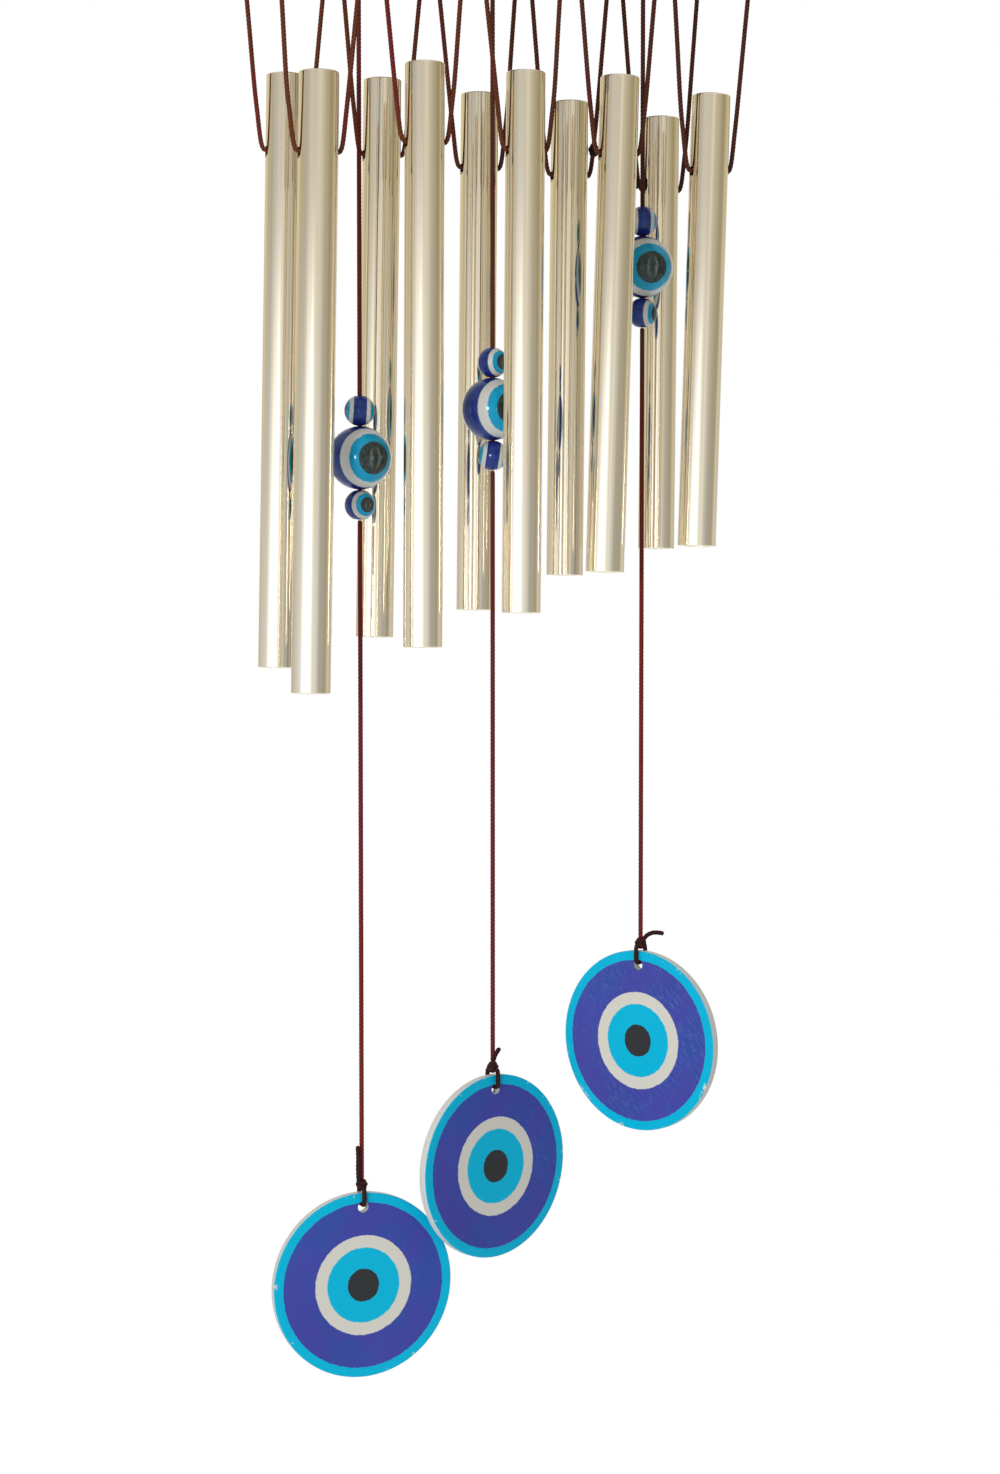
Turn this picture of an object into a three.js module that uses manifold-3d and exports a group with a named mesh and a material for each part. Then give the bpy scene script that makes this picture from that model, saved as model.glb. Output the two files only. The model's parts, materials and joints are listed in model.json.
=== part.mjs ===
// A hanging metal wind chime: two rows of tubes on cord loops under a board, with three pendant cords
// between the rows that carry evil-eye beads and end in round printed discs.
// Millimetres, +Z up. +X runs along the rows to the short tubes, +Y runs away from the viewer.
// The origin is the centre of the ring that the chime hangs by.
import * as THREE from 'three';
import { mergeVertices } from 'three/addons/utils/BufferGeometryUtils.js';
import Module from 'manifold-3d';

const wasm = await Module();
wasm.setup();

// Clearances
const SEAT_GAP = 0.3;
const PIVOT_GAP = 0.5;

// Cord
const CORD_DIAMETER = 1.5;
const CORD_SIDES = 8;
const CORD_RADIUS = CORD_DIAMETER / 2;
const CORD_HOLE = CORD_DIAMETER + 3 * SEAT_GAP;

// Hanging ring
const RING_DIAMETER = 24;
const RING_WIRE = 2.5;

// Loops: how far the cross holes hang under the board, how far apart a loop's strands are at the board,
// and the gap there to the next loop's strand
const LOOP_DROP = 64;
const LOOP_SPREAD = 26.8;
const STRAND_GAP = 4.6;

// Rows of tubes, from the long end to the short end
const ROW_PITCH = LOOP_SPREAD + STRAND_GAP;
const ROW_GAP = 42.2;
const TUBE_DIAMETER = 12;
const TUBE_WALL = 1;
const TUBE_EDGE = 0.3;
const TUBE_SIDES = 24;
const TUBE_LENGTHS = [184, 175, 164, 152, 140];
const CROSS_HOLE_DROP = 24;
const CROSS_HOLE = 3.4;

// Board, with its margins past the loops' holes
const BOARD_END_MARGIN = 9.8;
const BOARD_SIDE_MARGIN = 11.9;
const BOARD_THICKNESS = 8;
const BOARD_CORNER = 10;
const BOARD_DROP = 90;
const BOARD_LENGTH = (TUBE_LENGTHS.length - 1) * ROW_PITCH + LOOP_SPREAD + 2 * BOARD_END_MARGIN;
const BOARD_WIDTH = ROW_GAP + 2 * BOARD_SIDE_MARGIN;
const BALANCE_SHIFT = 3;
const HANGER_HOLE_INSET = 10;
const HANGER_HOLE_SPACING = 24;
const KNOT_DIAMETER = 4;
const LOOP_KNOT = 3;

// How each hand-tied tube hangs: extra height, shift along the row, lean of its foot to -X in degrees, and
// where its loop's knot shows, the knot's side, its distance outside the tube and its height over the cord
const ROWS = [
  {
    name: 'back',
    side: 1,
    hang: [
      { raise: 3.1, shift: -0.3, lean: 1.1 },
      { raise: 3.5, shift: -0.3, lean: 1.0 },
      { raise: 1.0, shift: 0.7, lean: 0.6 },
      { raise: 0.2, shift: -0.1, lean: 0.6, tied: [1, 2.6, 8.8] },
      { raise: -3.0, shift: 0.2, lean: 0.5, tied: [-1, 2.6, 2.4] },
    ],
  },
  {
    name: 'front',
    side: -1,
    hang: [
      { raise: -3.6, shift: -1.2, lean: 1.0 },
      { raise: 1.0, shift: 0.5, lean: 0.3 },
      { raise: 0.3, shift: 1.2, lean: 0.5 },
      { raise: 0.8, shift: 0, lean: 1.8 },
      { raise: -3.0, shift: -0.9, lean: 1.8 },
    ],
  },
];

// Beads
const BIG_BEAD = 19.5;
const SMALL_BEAD = 9.5;
const BEAD_BORE = CORD_DIAMETER + 2.5 * SEAT_GAP;
const STOP_DIAMETER = 2.4;
const STOP_LENGTH = 2.4;

// Discs
const DISC_DIAMETER = 58;
const DISC_THICKNESS = 3;
const DISC_SIDES = 48;
const DISC_HOLE = 3.5;
const DISC_HOLE_INSET = 4.4;
const TIE_KNOT = 3.8;

// Pendant cords: place along the board, depth of the big bead and of the disc's centre under the board,
// and the turn of the disc's face from the front to +X in degrees
const PENDANT_PLACES = [-45.2, -2, 48.3];
const BEAD_DEPTHS = [156, 140.1, 94.1];
const DISC_DEPTHS = [412.9, 378.5, 341.2];
const DISC_TURNS = [2, 22, -57];

// Cord routes. The loose tail of each tie goes from the middle of its knot, in the disc's own axes
const TIE_TAILS = [
  [[-1.4, -1.2, 1.9], [-1.55, -1.2, 5], [-1.5, -1.2, 9], [-1.7, -1.3, 12.6]],
  [[-1.1, -1.5, 2], [-0.5, -1.85, 4.2], [0.9, -2.5, 6.4]],
  [[1.75, -0.6, 1.5], [2.4, 0.35, 2.7], [3.5, 2, 3.4], [4.8, 3.7, 3.3], [6, 4.7, 3]],
];

// A loop's strand from the cross hole upward, as distance outside the tube and height over the cord there
const LOOP_SHOULDER = [
  [-1.8, 0], [-0.4, 0.05], [0.7, 0.45], [1.25, 1.5], [1.65, 3.2], [2.1, 6.5], [2.6, 11], [3.4, 18],
];

// A turn's end from its hole's mouth to where it lies flat, as distance inward and height over the board
const TURN_BEND = [[0, -0.6], [0.4, 0.75], [1.5, CORD_RADIUS + SEAT_GAP]];

// A hanger where it leaves the board, as distance inward and height, how high its middle stands over the
// straight line, and its way to the ring's wire, as distances outward and forward and height over the wire
const HANGER_LEAVE = [1.6, 4];
const HANGER_BOW = 1;
const HANGER_APPROACH = [[2.4, 0.4, -3.6], [0.5, 0, -0.4]];

// Levels
const ringBottom = -(RING_DIAMETER - RING_WIRE) / 2;
const boardTop = ringBottom - BOARD_DROP;
const boardBottom = boardTop - BOARD_THICKNESS;
const loopTop = boardBottom - PIVOT_GAP;

// Materials
const metal = new THREE.MeshStandardMaterial({ color: 0xd8cdb8, roughness: 0.25, metalness: 1 });
const steel = new THREE.MeshStandardMaterial({ color: 0xb8babc, roughness: 0.2, metalness: 1 });
const cordBrown = new THREE.MeshStandardMaterial({ color: 0x52201f, roughness: 0.8, metalness: 0 });
const wood = new THREE.MeshStandardMaterial({ color: 0xc09a6b, roughness: 0.6, metalness: 0 });
const cobalt = new THREE.MeshStandardMaterial({ color: 0x28288c, roughness: 0.15, metalness: 0 });
const sheet = new THREE.MeshStandardMaterial({ color: 0xe4e2da, roughness: 0.4, metalness: 0 });

const chime = new THREE.Group();

function add(name, geometry, material, parent = chime) {
  const mesh = new THREE.Mesh(geometry, material);
  mesh.name = name;
  parent.add(mesh);
  return mesh;
}

function point(x, y, z) {
  return new THREE.Vector3(x, y, z);
}

// A closed mesh as a solid that can be joined and cut
function toSolid(geometry) {
  const bare = geometry.index ? geometry.toNonIndexed() : geometry.clone();
  bare.deleteAttribute('normal');
  bare.deleteAttribute('uv');
  const merged = mergeVertices(bare, 1e-4);
  const index = merged.index.array;
  const kept = [];
  for (let i = 0; i < index.length; i += 3) {
    const [a, b, c] = [index[i], index[i + 1], index[i + 2]];
    if (a !== b && b !== c && c !== a) kept.push(a, b, c);
  }
  const mesh = new wasm.Mesh({
    numProp: 3,
    vertProperties: new Float32Array(merged.attributes.position.array),
    triVerts: new Uint32Array(kept),
  });
  return new wasm.Manifold(mesh);
}

function toGeometry(solid) {
  const mesh = solid.getMesh();
  const geometry = new THREE.BufferGeometry();
  geometry.setAttribute('position', new THREE.BufferAttribute(new Float32Array(mesh.vertProperties), 3));
  geometry.setIndex(new THREE.BufferAttribute(new Uint32Array(mesh.triVerts), 1));
  return geometry;
}

// A solid of revolution about Z, from [radius, height] points that run up the outside
function turned(profile, sides) {
  const points = profile.map(([radius, height]) => new THREE.Vector2(radius, height));
  return new THREE.LatheGeometry(points, sides).rotateX(Math.PI / 2);
}

function circle(radius, sides, x = 0, y = 0) {
  const points = [];
  for (let i = 0; i < sides; i += 1) {
    const angle = (2 * Math.PI * (i + 0.5)) / sides;
    points.push(new THREE.Vector2(x + radius * Math.cos(angle), y + radius * Math.sin(angle)));
  }
  return points;
}

// A smooth route whose steps follow its points, so bends are stepped finely and straight runs are not
class Route extends THREE.CatmullRomCurve3 {
  getPointAt(u, target) {
    return this.getPoint(u, target);
  }

  getTangentAt(u, target) {
    return this.getTangent(u, target);
  }
}

function cordAlong(points, stepsBetween) {
  return new THREE.ExtrudeGeometry(new THREE.Shape(circle(CORD_RADIUS, CORD_SIDES)), {
    steps: (points.length - 1) * stepsBetween,
    extrudePath: new Route(points, false, 'centripetal'),
  });
}

function straightCord(top, bottom) {
  const length = top - bottom;
  const cylinder = new THREE.CylinderGeometry(CORD_RADIUS, CORD_RADIUS, length, CORD_SIDES);
  return cylinder.rotateX(Math.PI / 2).translate(0, 0, bottom + length / 2);
}

function knot(diameter, x, y, z) {
  return new THREE.SphereGeometry(diameter / 2, 10, 6).rotateX(Math.PI / 2).translate(x, y, z);
}

// Hanging ring, standing along the rows
function makeRing() {
  const middle = (RING_DIAMETER - RING_WIRE) / 2;
  const torus = new THREE.TorusGeometry(middle, RING_WIRE / 2, 10, 32);
  add('hang_ring', torus.rotateX(Math.PI / 2), steel);
}

const loopPlaces = [];
for (const row of ROWS) {
  for (let i = 0; i < TUBE_LENGTHS.length; i += 1) {
    const middle = BALANCE_SHIFT + (i - (TUBE_LENGTHS.length - 1) / 2) * ROW_PITCH;
    loopPlaces.push({ row, i, middle, y: (row.side * ROW_GAP) / 2 });
  }
}
const hangerX = BOARD_LENGTH / 2 - HANGER_HOLE_INSET;
const hangerY = HANGER_HOLE_SPACING / 2;

// Board, with two holes for each tube's loop, one for each pendant cord and four for the hangers
function makeBoard() {
  const [halfX, halfY, r] = [BOARD_LENGTH / 2, BOARD_WIDTH / 2, BOARD_CORNER];
  const outline = new THREE.Shape();
  outline.moveTo(-halfX + r, -halfY);
  outline.lineTo(halfX - r, -halfY);
  outline.absarc(halfX - r, -halfY + r, r, -Math.PI / 2, 0);
  outline.lineTo(halfX, halfY - r);
  outline.absarc(halfX - r, halfY - r, r, 0, Math.PI / 2);
  outline.lineTo(-halfX + r, halfY);
  outline.absarc(-halfX + r, halfY - r, r, Math.PI / 2, Math.PI);
  outline.lineTo(-halfX, -halfY + r);
  outline.absarc(-halfX + r, -halfY + r, r, Math.PI, 1.5 * Math.PI);
  const holes = [];
  for (const { middle, y } of loopPlaces) {
    holes.push([middle - BALANCE_SHIFT - LOOP_SPREAD / 2, y], [middle - BALANCE_SHIFT + LOOP_SPREAD / 2, y]);
  }
  for (const along of PENDANT_PLACES) holes.push([along, 0]);
  for (const x of [-hangerX, hangerX]) holes.push([x, -hangerY], [x, hangerY]);
  for (const [x, y] of holes) outline.holes.push(new THREE.Path(circle(CORD_HOLE / 2, CORD_SIDES, x, y)));
  const board = new THREE.ExtrudeGeometry(outline, {
    depth: BOARD_THICKNESS,
    bevelEnabled: false,
    curveSegments: 3,
  });
  add('board', board.translate(BALANCE_SHIFT, 0, boardBottom), wood);
}

// Two hanger cords, each from a front hole over the ring's wire to a back hole, with knots under the board
function makeHangers() {
  const reach = RING_WIRE / 2 + CORD_RADIUS + PIVOT_GAP;
  const beside = CORD_RADIUS + SEAT_GAP;
  for (const [name, side] of [['hanger_left', -1], ['hanger_right', 1]]) {
    const x = BALANCE_SHIFT + side * hangerX;
    const knotZ = boardBottom - SEAT_GAP - KNOT_DIAMETER / 2;
    const [inward, leaveUp] = HANGER_LEAVE;
    const half = [
      point(x, -hangerY, knotZ),
      point(x, -hangerY, boardTop),
      point(x - side * inward, -hangerY, boardTop + leaveUp),
      point((x + side * beside) / 2, -(hangerY + reach) / 2, (boardTop + ringBottom) / 2 + HANGER_BOW),
    ];
    for (const [outward, forward, up] of HANGER_APPROACH) {
      half.push(point(side * (beside + outward), -reach - forward, ringBottom + up));
    }
    half.push(point(side * beside, -reach * Math.SQRT1_2, ringBottom + reach * Math.SQRT1_2));
    const crown = point(side * beside, 0, ringBottom + reach);
    const other = half.map((p) => point(p.x, -p.y, p.z)).reverse();
    let cord = toSolid(cordAlong([...half, crown, ...other], 2));
    for (const y of [-hangerY, hangerY]) cord = cord.add(toSolid(knot(KNOT_DIAMETER, x, y, knotZ)));
    add(name, toGeometry(cord), cordBrown);
  }
}

// One tube about its cross hole, with small bevels at its ends
function tubeGeometry(length) {
  const [outer, inner] = [TUBE_DIAMETER / 2, TUBE_DIAMETER / 2 - TUBE_WALL];
  const [top, foot] = [CROSS_HOLE_DROP, CROSS_HOLE_DROP - length];
  const wall = [
    [inner, foot],
    [outer - TUBE_EDGE, foot],
    [outer, foot + TUBE_EDGE],
    [outer, top - TUBE_EDGE],
    [outer - TUBE_EDGE, top],
    [inner, top],
    [inner, foot],
  ];
  const drill = new THREE.CylinderGeometry(CROSS_HOLE / 2, CROSS_HOLE / 2, 2 * TUBE_DIAMETER, 12);
  return toGeometry(toSolid(turned(wall, TUBE_SIDES)).subtract(toSolid(drill.rotateZ(Math.PI / 2))));
}

function makeTubes() {
  for (const { row, i, middle, y } of loopPlaces) {
    const { raise, shift, lean, tied } = row.hang[i];
    const holeX = middle + shift;
    const holeZ = boardBottom - LOOP_DROP + raise;
    const cordZ = holeZ + CROSS_HOLE / 2 - CORD_RADIUS - 1.5 * SEAT_GAP;
    const tube = add(`tube_${row.name}_${i + 1}`, tubeGeometry(TUBE_LENGTHS[i]), metal);
    tube.position.set(holeX, y, holeZ);
    tube.rotation.y = THREE.MathUtils.degToRad(lean);
    const strand = (side) => {
      const shoulder = LOOP_SHOULDER.map(([outside, up]) => {
        return point(holeX + side * (TUBE_DIAMETER / 2 + outside), y, cordZ + up);
      });
      const high = shoulder[shoulder.length - 1];
      const end = point(middle + (side * LOOP_SPREAD) / 2, y, loopTop);
      return [...shoulder, point((high.x + end.x) / 2, y, (high.z + end.z) / 2), end];
    };
    const route = [...strand(-1).reverse(), point(holeX, y, cordZ), ...strand(1)];
    let loop = cordAlong(route, 1);
    if (tied) {
      const [side, outside, up] = tied;
      const lump = knot(LOOP_KNOT, holeX + side * (TUBE_DIAMETER / 2 + outside), y, cordZ + up);
      loop = toGeometry(toSolid(loop).add(toSolid(lump)));
    }
    add(`loop_${row.name}_${i + 1}`, loop, cordBrown);
    makeTurn(`turn_${row.name}_${i + 1}`, middle, y);
  }
}

// The turn of a loop's cord over the board, from one hole to the other
function makeTurn(name, middle, y) {
  const rise = (side) => {
    const hole = middle + (side * LOOP_SPREAD) / 2;
    const bend = TURN_BEND.map(([inward, up]) => point(hole - side * inward, y, boardTop + up));
    return [point(hole, y, boardBottom), ...bend];
  };
  add(name, cordAlong([...rise(-1), ...rise(1).reverse()], 1), cordBrown);
}

// A bead about its bore, with a wider seat in its foot where a stop knot sits
function beadGeometry(diameter, rings, sides, seat) {
  const [radius, bore] = [diameter / 2, BEAD_BORE / 2];
  const edge = Math.asin(bore / radius);
  const profile = [];
  const seatRadius = STOP_DIAMETER / 2 + SEAT_GAP;
  const foot = seat ? Math.asin(seatRadius / radius) : edge;
  for (let i = 0; i <= rings; i += 1) {
    const angle = foot + ((Math.PI - foot - edge) * i) / rings;
    profile.push([radius * Math.sin(angle), -radius * Math.cos(angle)]);
  }
  if (seat) {
    const shoulder = -radius * Math.cos(foot) + STOP_LENGTH + 2 * SEAT_GAP;
    profile.push([bore, shoulder], [seatRadius, shoulder]);
  }
  profile.push(profile[0]);
  return turned(profile, sides);
}

function beadHalfHeight(diameter) {
  return Math.sqrt((diameter / 2) ** 2 - (BEAD_BORE / 2) ** 2);
}

// A disc about its centre, facing -Y, with its cord hole under the top of its rim
function discGeometry() {
  const outline = new THREE.Shape(circle(DISC_DIAMETER / 2, DISC_SIDES));
  outline.holes.push(new THREE.Path(circle(DISC_HOLE / 2, 12, 0, DISC_DIAMETER / 2 - DISC_HOLE_INSET)));
  const disc = new THREE.ExtrudeGeometry(outline, { depth: DISC_THICKNESS, bevelEnabled: false });
  return disc.rotateX(Math.PI / 2).translate(0, DISC_THICKNESS / 2, 0);
}

// A disc's tie about the disc's centre: the loop through the hole, the knot over the rim and the loose tail
const tieKnotHeight = DISC_DIAMETER / 2 + PIVOT_GAP + TIE_KNOT / 2;

function tieGeometry(tail) {
  const reach = CORD_RADIUS + SEAT_GAP;
  const bend = reach * Math.SQRT1_2;
  const edge = DISC_THICKNESS / 2;
  const rim = DISC_DIAMETER / 2;
  const bearing = rim - DISC_HOLE_INSET + DISC_HOLE / 2 - reach;
  const front = [
    point(0, -CORD_RADIUS / 4, tieKnotHeight),
    point(0, -edge - CORD_RADIUS, tieKnotHeight - TIE_KNOT / 4),
    point(0, -edge - reach, rim - reach),
    point(0, -edge - reach, bearing + reach),
    point(0, -edge - bend, bearing + reach - bend),
    point(0, -edge, bearing),
  ];
  const back = front.map((p) => point(0, -p.y, p.z)).reverse();
  const loop = toSolid(cordAlong([...front, point(0, 0, bearing), ...back], 1));
  const end = tail.map(([x, y, up]) => point(x, y, tieKnotHeight + up));
  const tailSolid = toSolid(cordAlong([point(0, 0, tieKnotHeight), ...end], 2));
  return toGeometry(loop.add(toSolid(knot(TIE_KNOT, 0, 0, tieKnotHeight))).add(tailSolid));
}

function makePendants() {
  PENDANT_PLACES.forEach((along, j) => {
    const cord = new THREE.Group();
    cord.position.set(BALANCE_SHIFT + along, 0, 0);
    chime.add(cord);
    const label = j + 1;
    const step = beadHalfHeight(BIG_BEAD) + beadHalfHeight(SMALL_BEAD) + SEAT_GAP / 2;
    const bigZ = boardBottom - BEAD_DEPTHS[j];
    const [topZ, lowZ] = [bigZ + step, bigZ - step];
    add(`bead_${label}_top`, beadGeometry(SMALL_BEAD, 7, 14, false), cobalt, cord).position.z = topZ;
    add(`bead_${label}_big`, beadGeometry(BIG_BEAD, 10, 20, false), cobalt, cord).position.z = bigZ;
    add(`bead_${label}_low`, beadGeometry(SMALL_BEAD, 7, 14, true), cobalt, cord).position.z = lowZ;

    const plug = toSolid(straightCord(boardTop + KNOT_DIAMETER / 2, boardBottom));
    const head = toSolid(knot(KNOT_DIAMETER, 0, 0, boardTop + SEAT_GAP + KNOT_DIAMETER / 2));
    add(`pendant_knot_${label}`, toGeometry(plug.add(head)), cordBrown, cord);

    const foot = lowZ - Math.sqrt((SMALL_BEAD / 2) ** 2 - (STOP_DIAMETER / 2 + SEAT_GAP) ** 2);
    const stopFoot = foot + SEAT_GAP;
    const stop = [
      [0, stopFoot],
      [STOP_DIAMETER / 2, stopFoot],
      [STOP_DIAMETER / 2, stopFoot + STOP_LENGTH],
      [CORD_RADIUS, stopFoot + STOP_LENGTH],
      [CORD_RADIUS, loopTop],
      [0, loopTop],
    ];
    add(`pendant_cord_${label}_upper`, turned(stop, CORD_SIDES), cordBrown, cord);

    const discZ = boardBottom - DISC_DEPTHS[j];
    const knotTop = discZ + tieKnotHeight + TIE_KNOT / 2;
    add(`pendant_cord_${label}_lower`, straightCord(foot - PIVOT_GAP, knotTop + SEAT_GAP), cordBrown, cord);

    const hung = new THREE.Group();
    hung.position.z = discZ;
    hung.rotation.z = THREE.MathUtils.degToRad(DISC_TURNS[j]);
    cord.add(hung);
    add(`disc_${label}`, discGeometry(), sheet, hung);
    add(`disc_tie_${label}`, tieGeometry(TIE_TAILS[j]), cordBrown, hung);
  });
}

makeRing();
makeBoard();
makeHangers();
makeTubes();
makePendants();

export default chime;
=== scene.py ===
"""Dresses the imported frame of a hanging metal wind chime: tubes, cords, evil-eye beads and printed discs."""
import json
import math

import bmesh
import bpy
import numpy as np
from bpy.props import FloatProperty, FloatVectorProperty, IntProperty, PointerProperty
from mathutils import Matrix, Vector
from mathutils.geometry import delaunay_2d_cdt


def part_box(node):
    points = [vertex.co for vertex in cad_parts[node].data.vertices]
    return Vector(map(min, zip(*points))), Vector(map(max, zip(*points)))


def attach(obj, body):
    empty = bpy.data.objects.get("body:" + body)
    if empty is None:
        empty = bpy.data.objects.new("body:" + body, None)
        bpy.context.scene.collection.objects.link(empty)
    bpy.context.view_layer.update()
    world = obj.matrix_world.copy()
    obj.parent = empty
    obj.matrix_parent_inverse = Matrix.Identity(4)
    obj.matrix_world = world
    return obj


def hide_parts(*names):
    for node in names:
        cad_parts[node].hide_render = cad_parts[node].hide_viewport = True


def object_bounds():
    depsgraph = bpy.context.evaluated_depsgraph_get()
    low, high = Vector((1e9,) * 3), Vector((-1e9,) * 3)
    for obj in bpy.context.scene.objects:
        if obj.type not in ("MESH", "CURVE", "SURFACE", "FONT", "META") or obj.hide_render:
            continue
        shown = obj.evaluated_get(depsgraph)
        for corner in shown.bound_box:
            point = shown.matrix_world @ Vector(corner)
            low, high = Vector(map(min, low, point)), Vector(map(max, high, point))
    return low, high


bl_info = {
    "name": "Wind Chime",
    "version": (1, 0, 0),
    "blender": (4, 5, 0),
    "location": "View3D > Sidebar > Chime",
    "description": "Builds a metal wind chime with evil-eye beads and discs around its frame",
    "category": "Object",
}

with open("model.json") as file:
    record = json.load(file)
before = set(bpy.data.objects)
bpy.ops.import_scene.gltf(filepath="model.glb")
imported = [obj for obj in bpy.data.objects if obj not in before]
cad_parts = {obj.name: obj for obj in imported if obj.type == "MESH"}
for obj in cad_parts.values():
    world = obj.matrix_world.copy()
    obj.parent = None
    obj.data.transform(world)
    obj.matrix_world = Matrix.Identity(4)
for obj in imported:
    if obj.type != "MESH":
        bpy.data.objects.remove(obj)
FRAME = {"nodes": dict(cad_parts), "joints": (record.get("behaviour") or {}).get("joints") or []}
CAD_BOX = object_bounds()
JOINTS = {joint["name"]: joint for joint in FRAME["joints"]}
MM = 0.001
TUBE_NAMES = [f"{row}_{k}" for row in ("back", "front") for k in range(1, 6)]
PENDANTS = range(1, 4)
BEAD_PARTS = ("top", "big", "low")
OWN_PLACE = "own_place"
SHARP_EDGE = math.radians(40)
MERGE_DISTANCE = 0.002 * MM
CORNER_STEPS = 5
ROUTE_FINENESS = 24
FEWEST_STEPS = 4


def joint_place(name):
    """The point that a joint turns about, in metres."""
    return np.array(JOINTS[name]["pos_m"], float)


def disc_axes(k):
    """The level direction that a disc's faces look along, and the one across it."""
    normal = np.array(JOINTS[f"disc_{k}_swing"]["axis"], float)
    return normal, np.cross((0, 0, 1), normal)


def node_box(node):
    """The lowest and highest corners of a node at rest, as arrays."""
    low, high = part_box(node)
    return np.array(low), np.array(high)


def dimmed(colour, share):
    """A colour at that share of its brightness."""
    return tuple(share * v for v in colour)


def from_screen(red, green, blue):
    """A screen colour of 0 to 255 as the linear colour that a shader takes."""
    screen = np.array([red, green, blue]) / 255
    linear = np.where(screen <= 0.04045, screen / 12.92, ((screen + 0.055) / 1.055) ** 2.4)
    return tuple(float(v) for v in linear)


def a_length(name, description, millimetres):
    """A length that a user may change, given in millimetres."""
    return FloatProperty(name=name, description=description, default=millimetres * MM, unit="LENGTH")


def a_colour(name, description, red, green, blue):
    """A colour that a user may change, given as it looks on the screen."""
    return FloatVectorProperty(
        name=name, description=description, subtype="COLOR", size=3, min=0, max=1,
        default=from_screen(red, green, blue),
    )


def an_angle(name, description, degrees):
    """An angle that a user may change, given in degrees."""
    return FloatProperty(name=name, description=description, default=math.radians(degrees), subtype="ANGLE")


def a_share(name, description, share):
    """A share from 0 to 1 that a user may change."""
    return FloatProperty(name=name, description=description, default=share, min=0, max=1, subtype="FACTOR")


class TubeSettings(bpy.types.PropertyGroup):
    """Sizes and finish of the tubes"""

    diameter: a_length("Diameter", "Outer diameter of a tube", 12)
    wall: a_length("Wall", "Thickness of a tube's wall", 1)
    edge: a_length("Edge", "Rounding of a tube's cut ends", 0.4)
    hole: a_length("Cross hole", "Diameter of the holes that the loop goes through", 3.4)
    bright: a_colour("Bright tint", "Metal between the draw lines", 246, 239, 223)
    deep: a_colour("Deep tint", "Metal in the draw lines", 234, 223, 201)


class CordSettings(bpy.types.PropertyGroup):
    """Sizes and colours of the twisted cord"""

    diameter: a_length("Diameter", "Diameter of the twisted cord", 1.5)
    lay: a_length("Lay", "Length of one full twist", 3.6)
    plies: IntProperty(name="Plies", description="Strands that are twisted together", default=3, min=2)
    maroon: a_colour("Maroon", "Lit fibres", 136, 34, 36)
    # Umber is the dark fibre colour, and it also stands for the painted shade in the grooves and on the right
    # of the cords
    umber: a_colour("Umber", "Fibres in the grooves", 54, 23, 17)
    tan: a_colour("Tan", "Worn stretches", 116, 68, 36)
    soot: a_colour("Soot", "Handled fibres of the knots", 32, 17, 14)


class BeadSettings(bpy.types.PropertyGroup):
    """Sizes and colours of the evil-eye beads"""

    big: a_length("Big bead", "Diameter of the middle bead", 19.5)
    small: a_length("Small bead", "Diameter of the beads over and under it", 9.5)
    bore: a_length("Bore", "Diameter of the cord's hole", 2.25)
    pupil_reach: an_angle("Pupil", "Half angle of the pupil", 31)
    iris_reach: an_angle("Iris", "Half angle of the iris", 49)
    white_reach: an_angle("White", "Half angle of the white", 67.5)
    blue: a_colour("Blue", "Body of a bead", 38, 54, 142)
    white: a_colour("White ring", "Ring round the iris", 212, 213, 210)
    cyan: a_colour("Iris ring", "Ring round the pupil", 0, 156, 202)
    pupil: a_colour("Pupil fill", "Middle of the eye", 56, 62, 60)
    # The glint is a painted reflection: pale arcs drawn into the pupil
    glint: a_colour("Glint", "Pale arcs in the pupil", 150, 154, 152)


class DiscSettings(bpy.types.PropertyGroup):
    """Sizes and colours of the printed discs"""

    diameter: a_length("Diameter", "Diameter of a disc", 58)
    thickness: a_length("Thickness", "Thickness of the sheet", 3)
    edge: a_length("Edge", "Rounding of the sheet's edges", 0.35)
    hole: a_length("Cord hole", "Diameter of the hole for the tie", 3.5)
    hole_inset: a_length("Hole inset", "Distance from the rim to the middle of the hole", 4.4)
    pupil_share: a_share("Pupil", "Radius of the pupil as a share of the disc's", 0.178)
    iris_share: a_share("Iris", "Radius of the iris as a share of the disc's", 0.407)
    white_share: a_share("White", "Radius of the white as a share of the disc's", 0.541)
    blue_share: a_share("Blue", "Radius of the blue as a share of the disc's", 0.897)
    cyan: a_colour("Cyan", "Iris and outer ring", 0, 182, 220)
    blue: a_colour("Blue ring", "Wide ring", 68, 72, 166)
    azure: a_colour("Azure", "Uneven ink in the wide ring", 46, 84, 172)
    white: a_colour("White ring", "Narrow ring", 214, 212, 202)
    pupil: a_colour("Pupil fill", "Middle of the eye", 48, 50, 52)
    sheet: a_colour("Sheet", "Bare sheet at the edges", 216, 215, 209)


class CarrierSettings(bpy.types.PropertyGroup):
    """Finish of the board and the ring that carry the rest"""

    corner: a_length("Corner", "Rounding of the board's corners", 10)
    edge: a_length("Edge", "Rounding of the board's edges", 1.2)
    hole: a_length("Cord holes", "Diameter of the board's holes", 2.4)
    pale: a_colour("Pale wood", "Early wood of the board", 206, 170, 122)
    brown: a_colour("Brown wood", "Late wood of the board", 158, 114, 72)
    steel: a_colour("Steel", "Hanging ring", 188, 189, 192)
    worn_steel: a_colour("Worn steel", "Worn spots of the hanging ring", 158, 157, 154)


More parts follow.
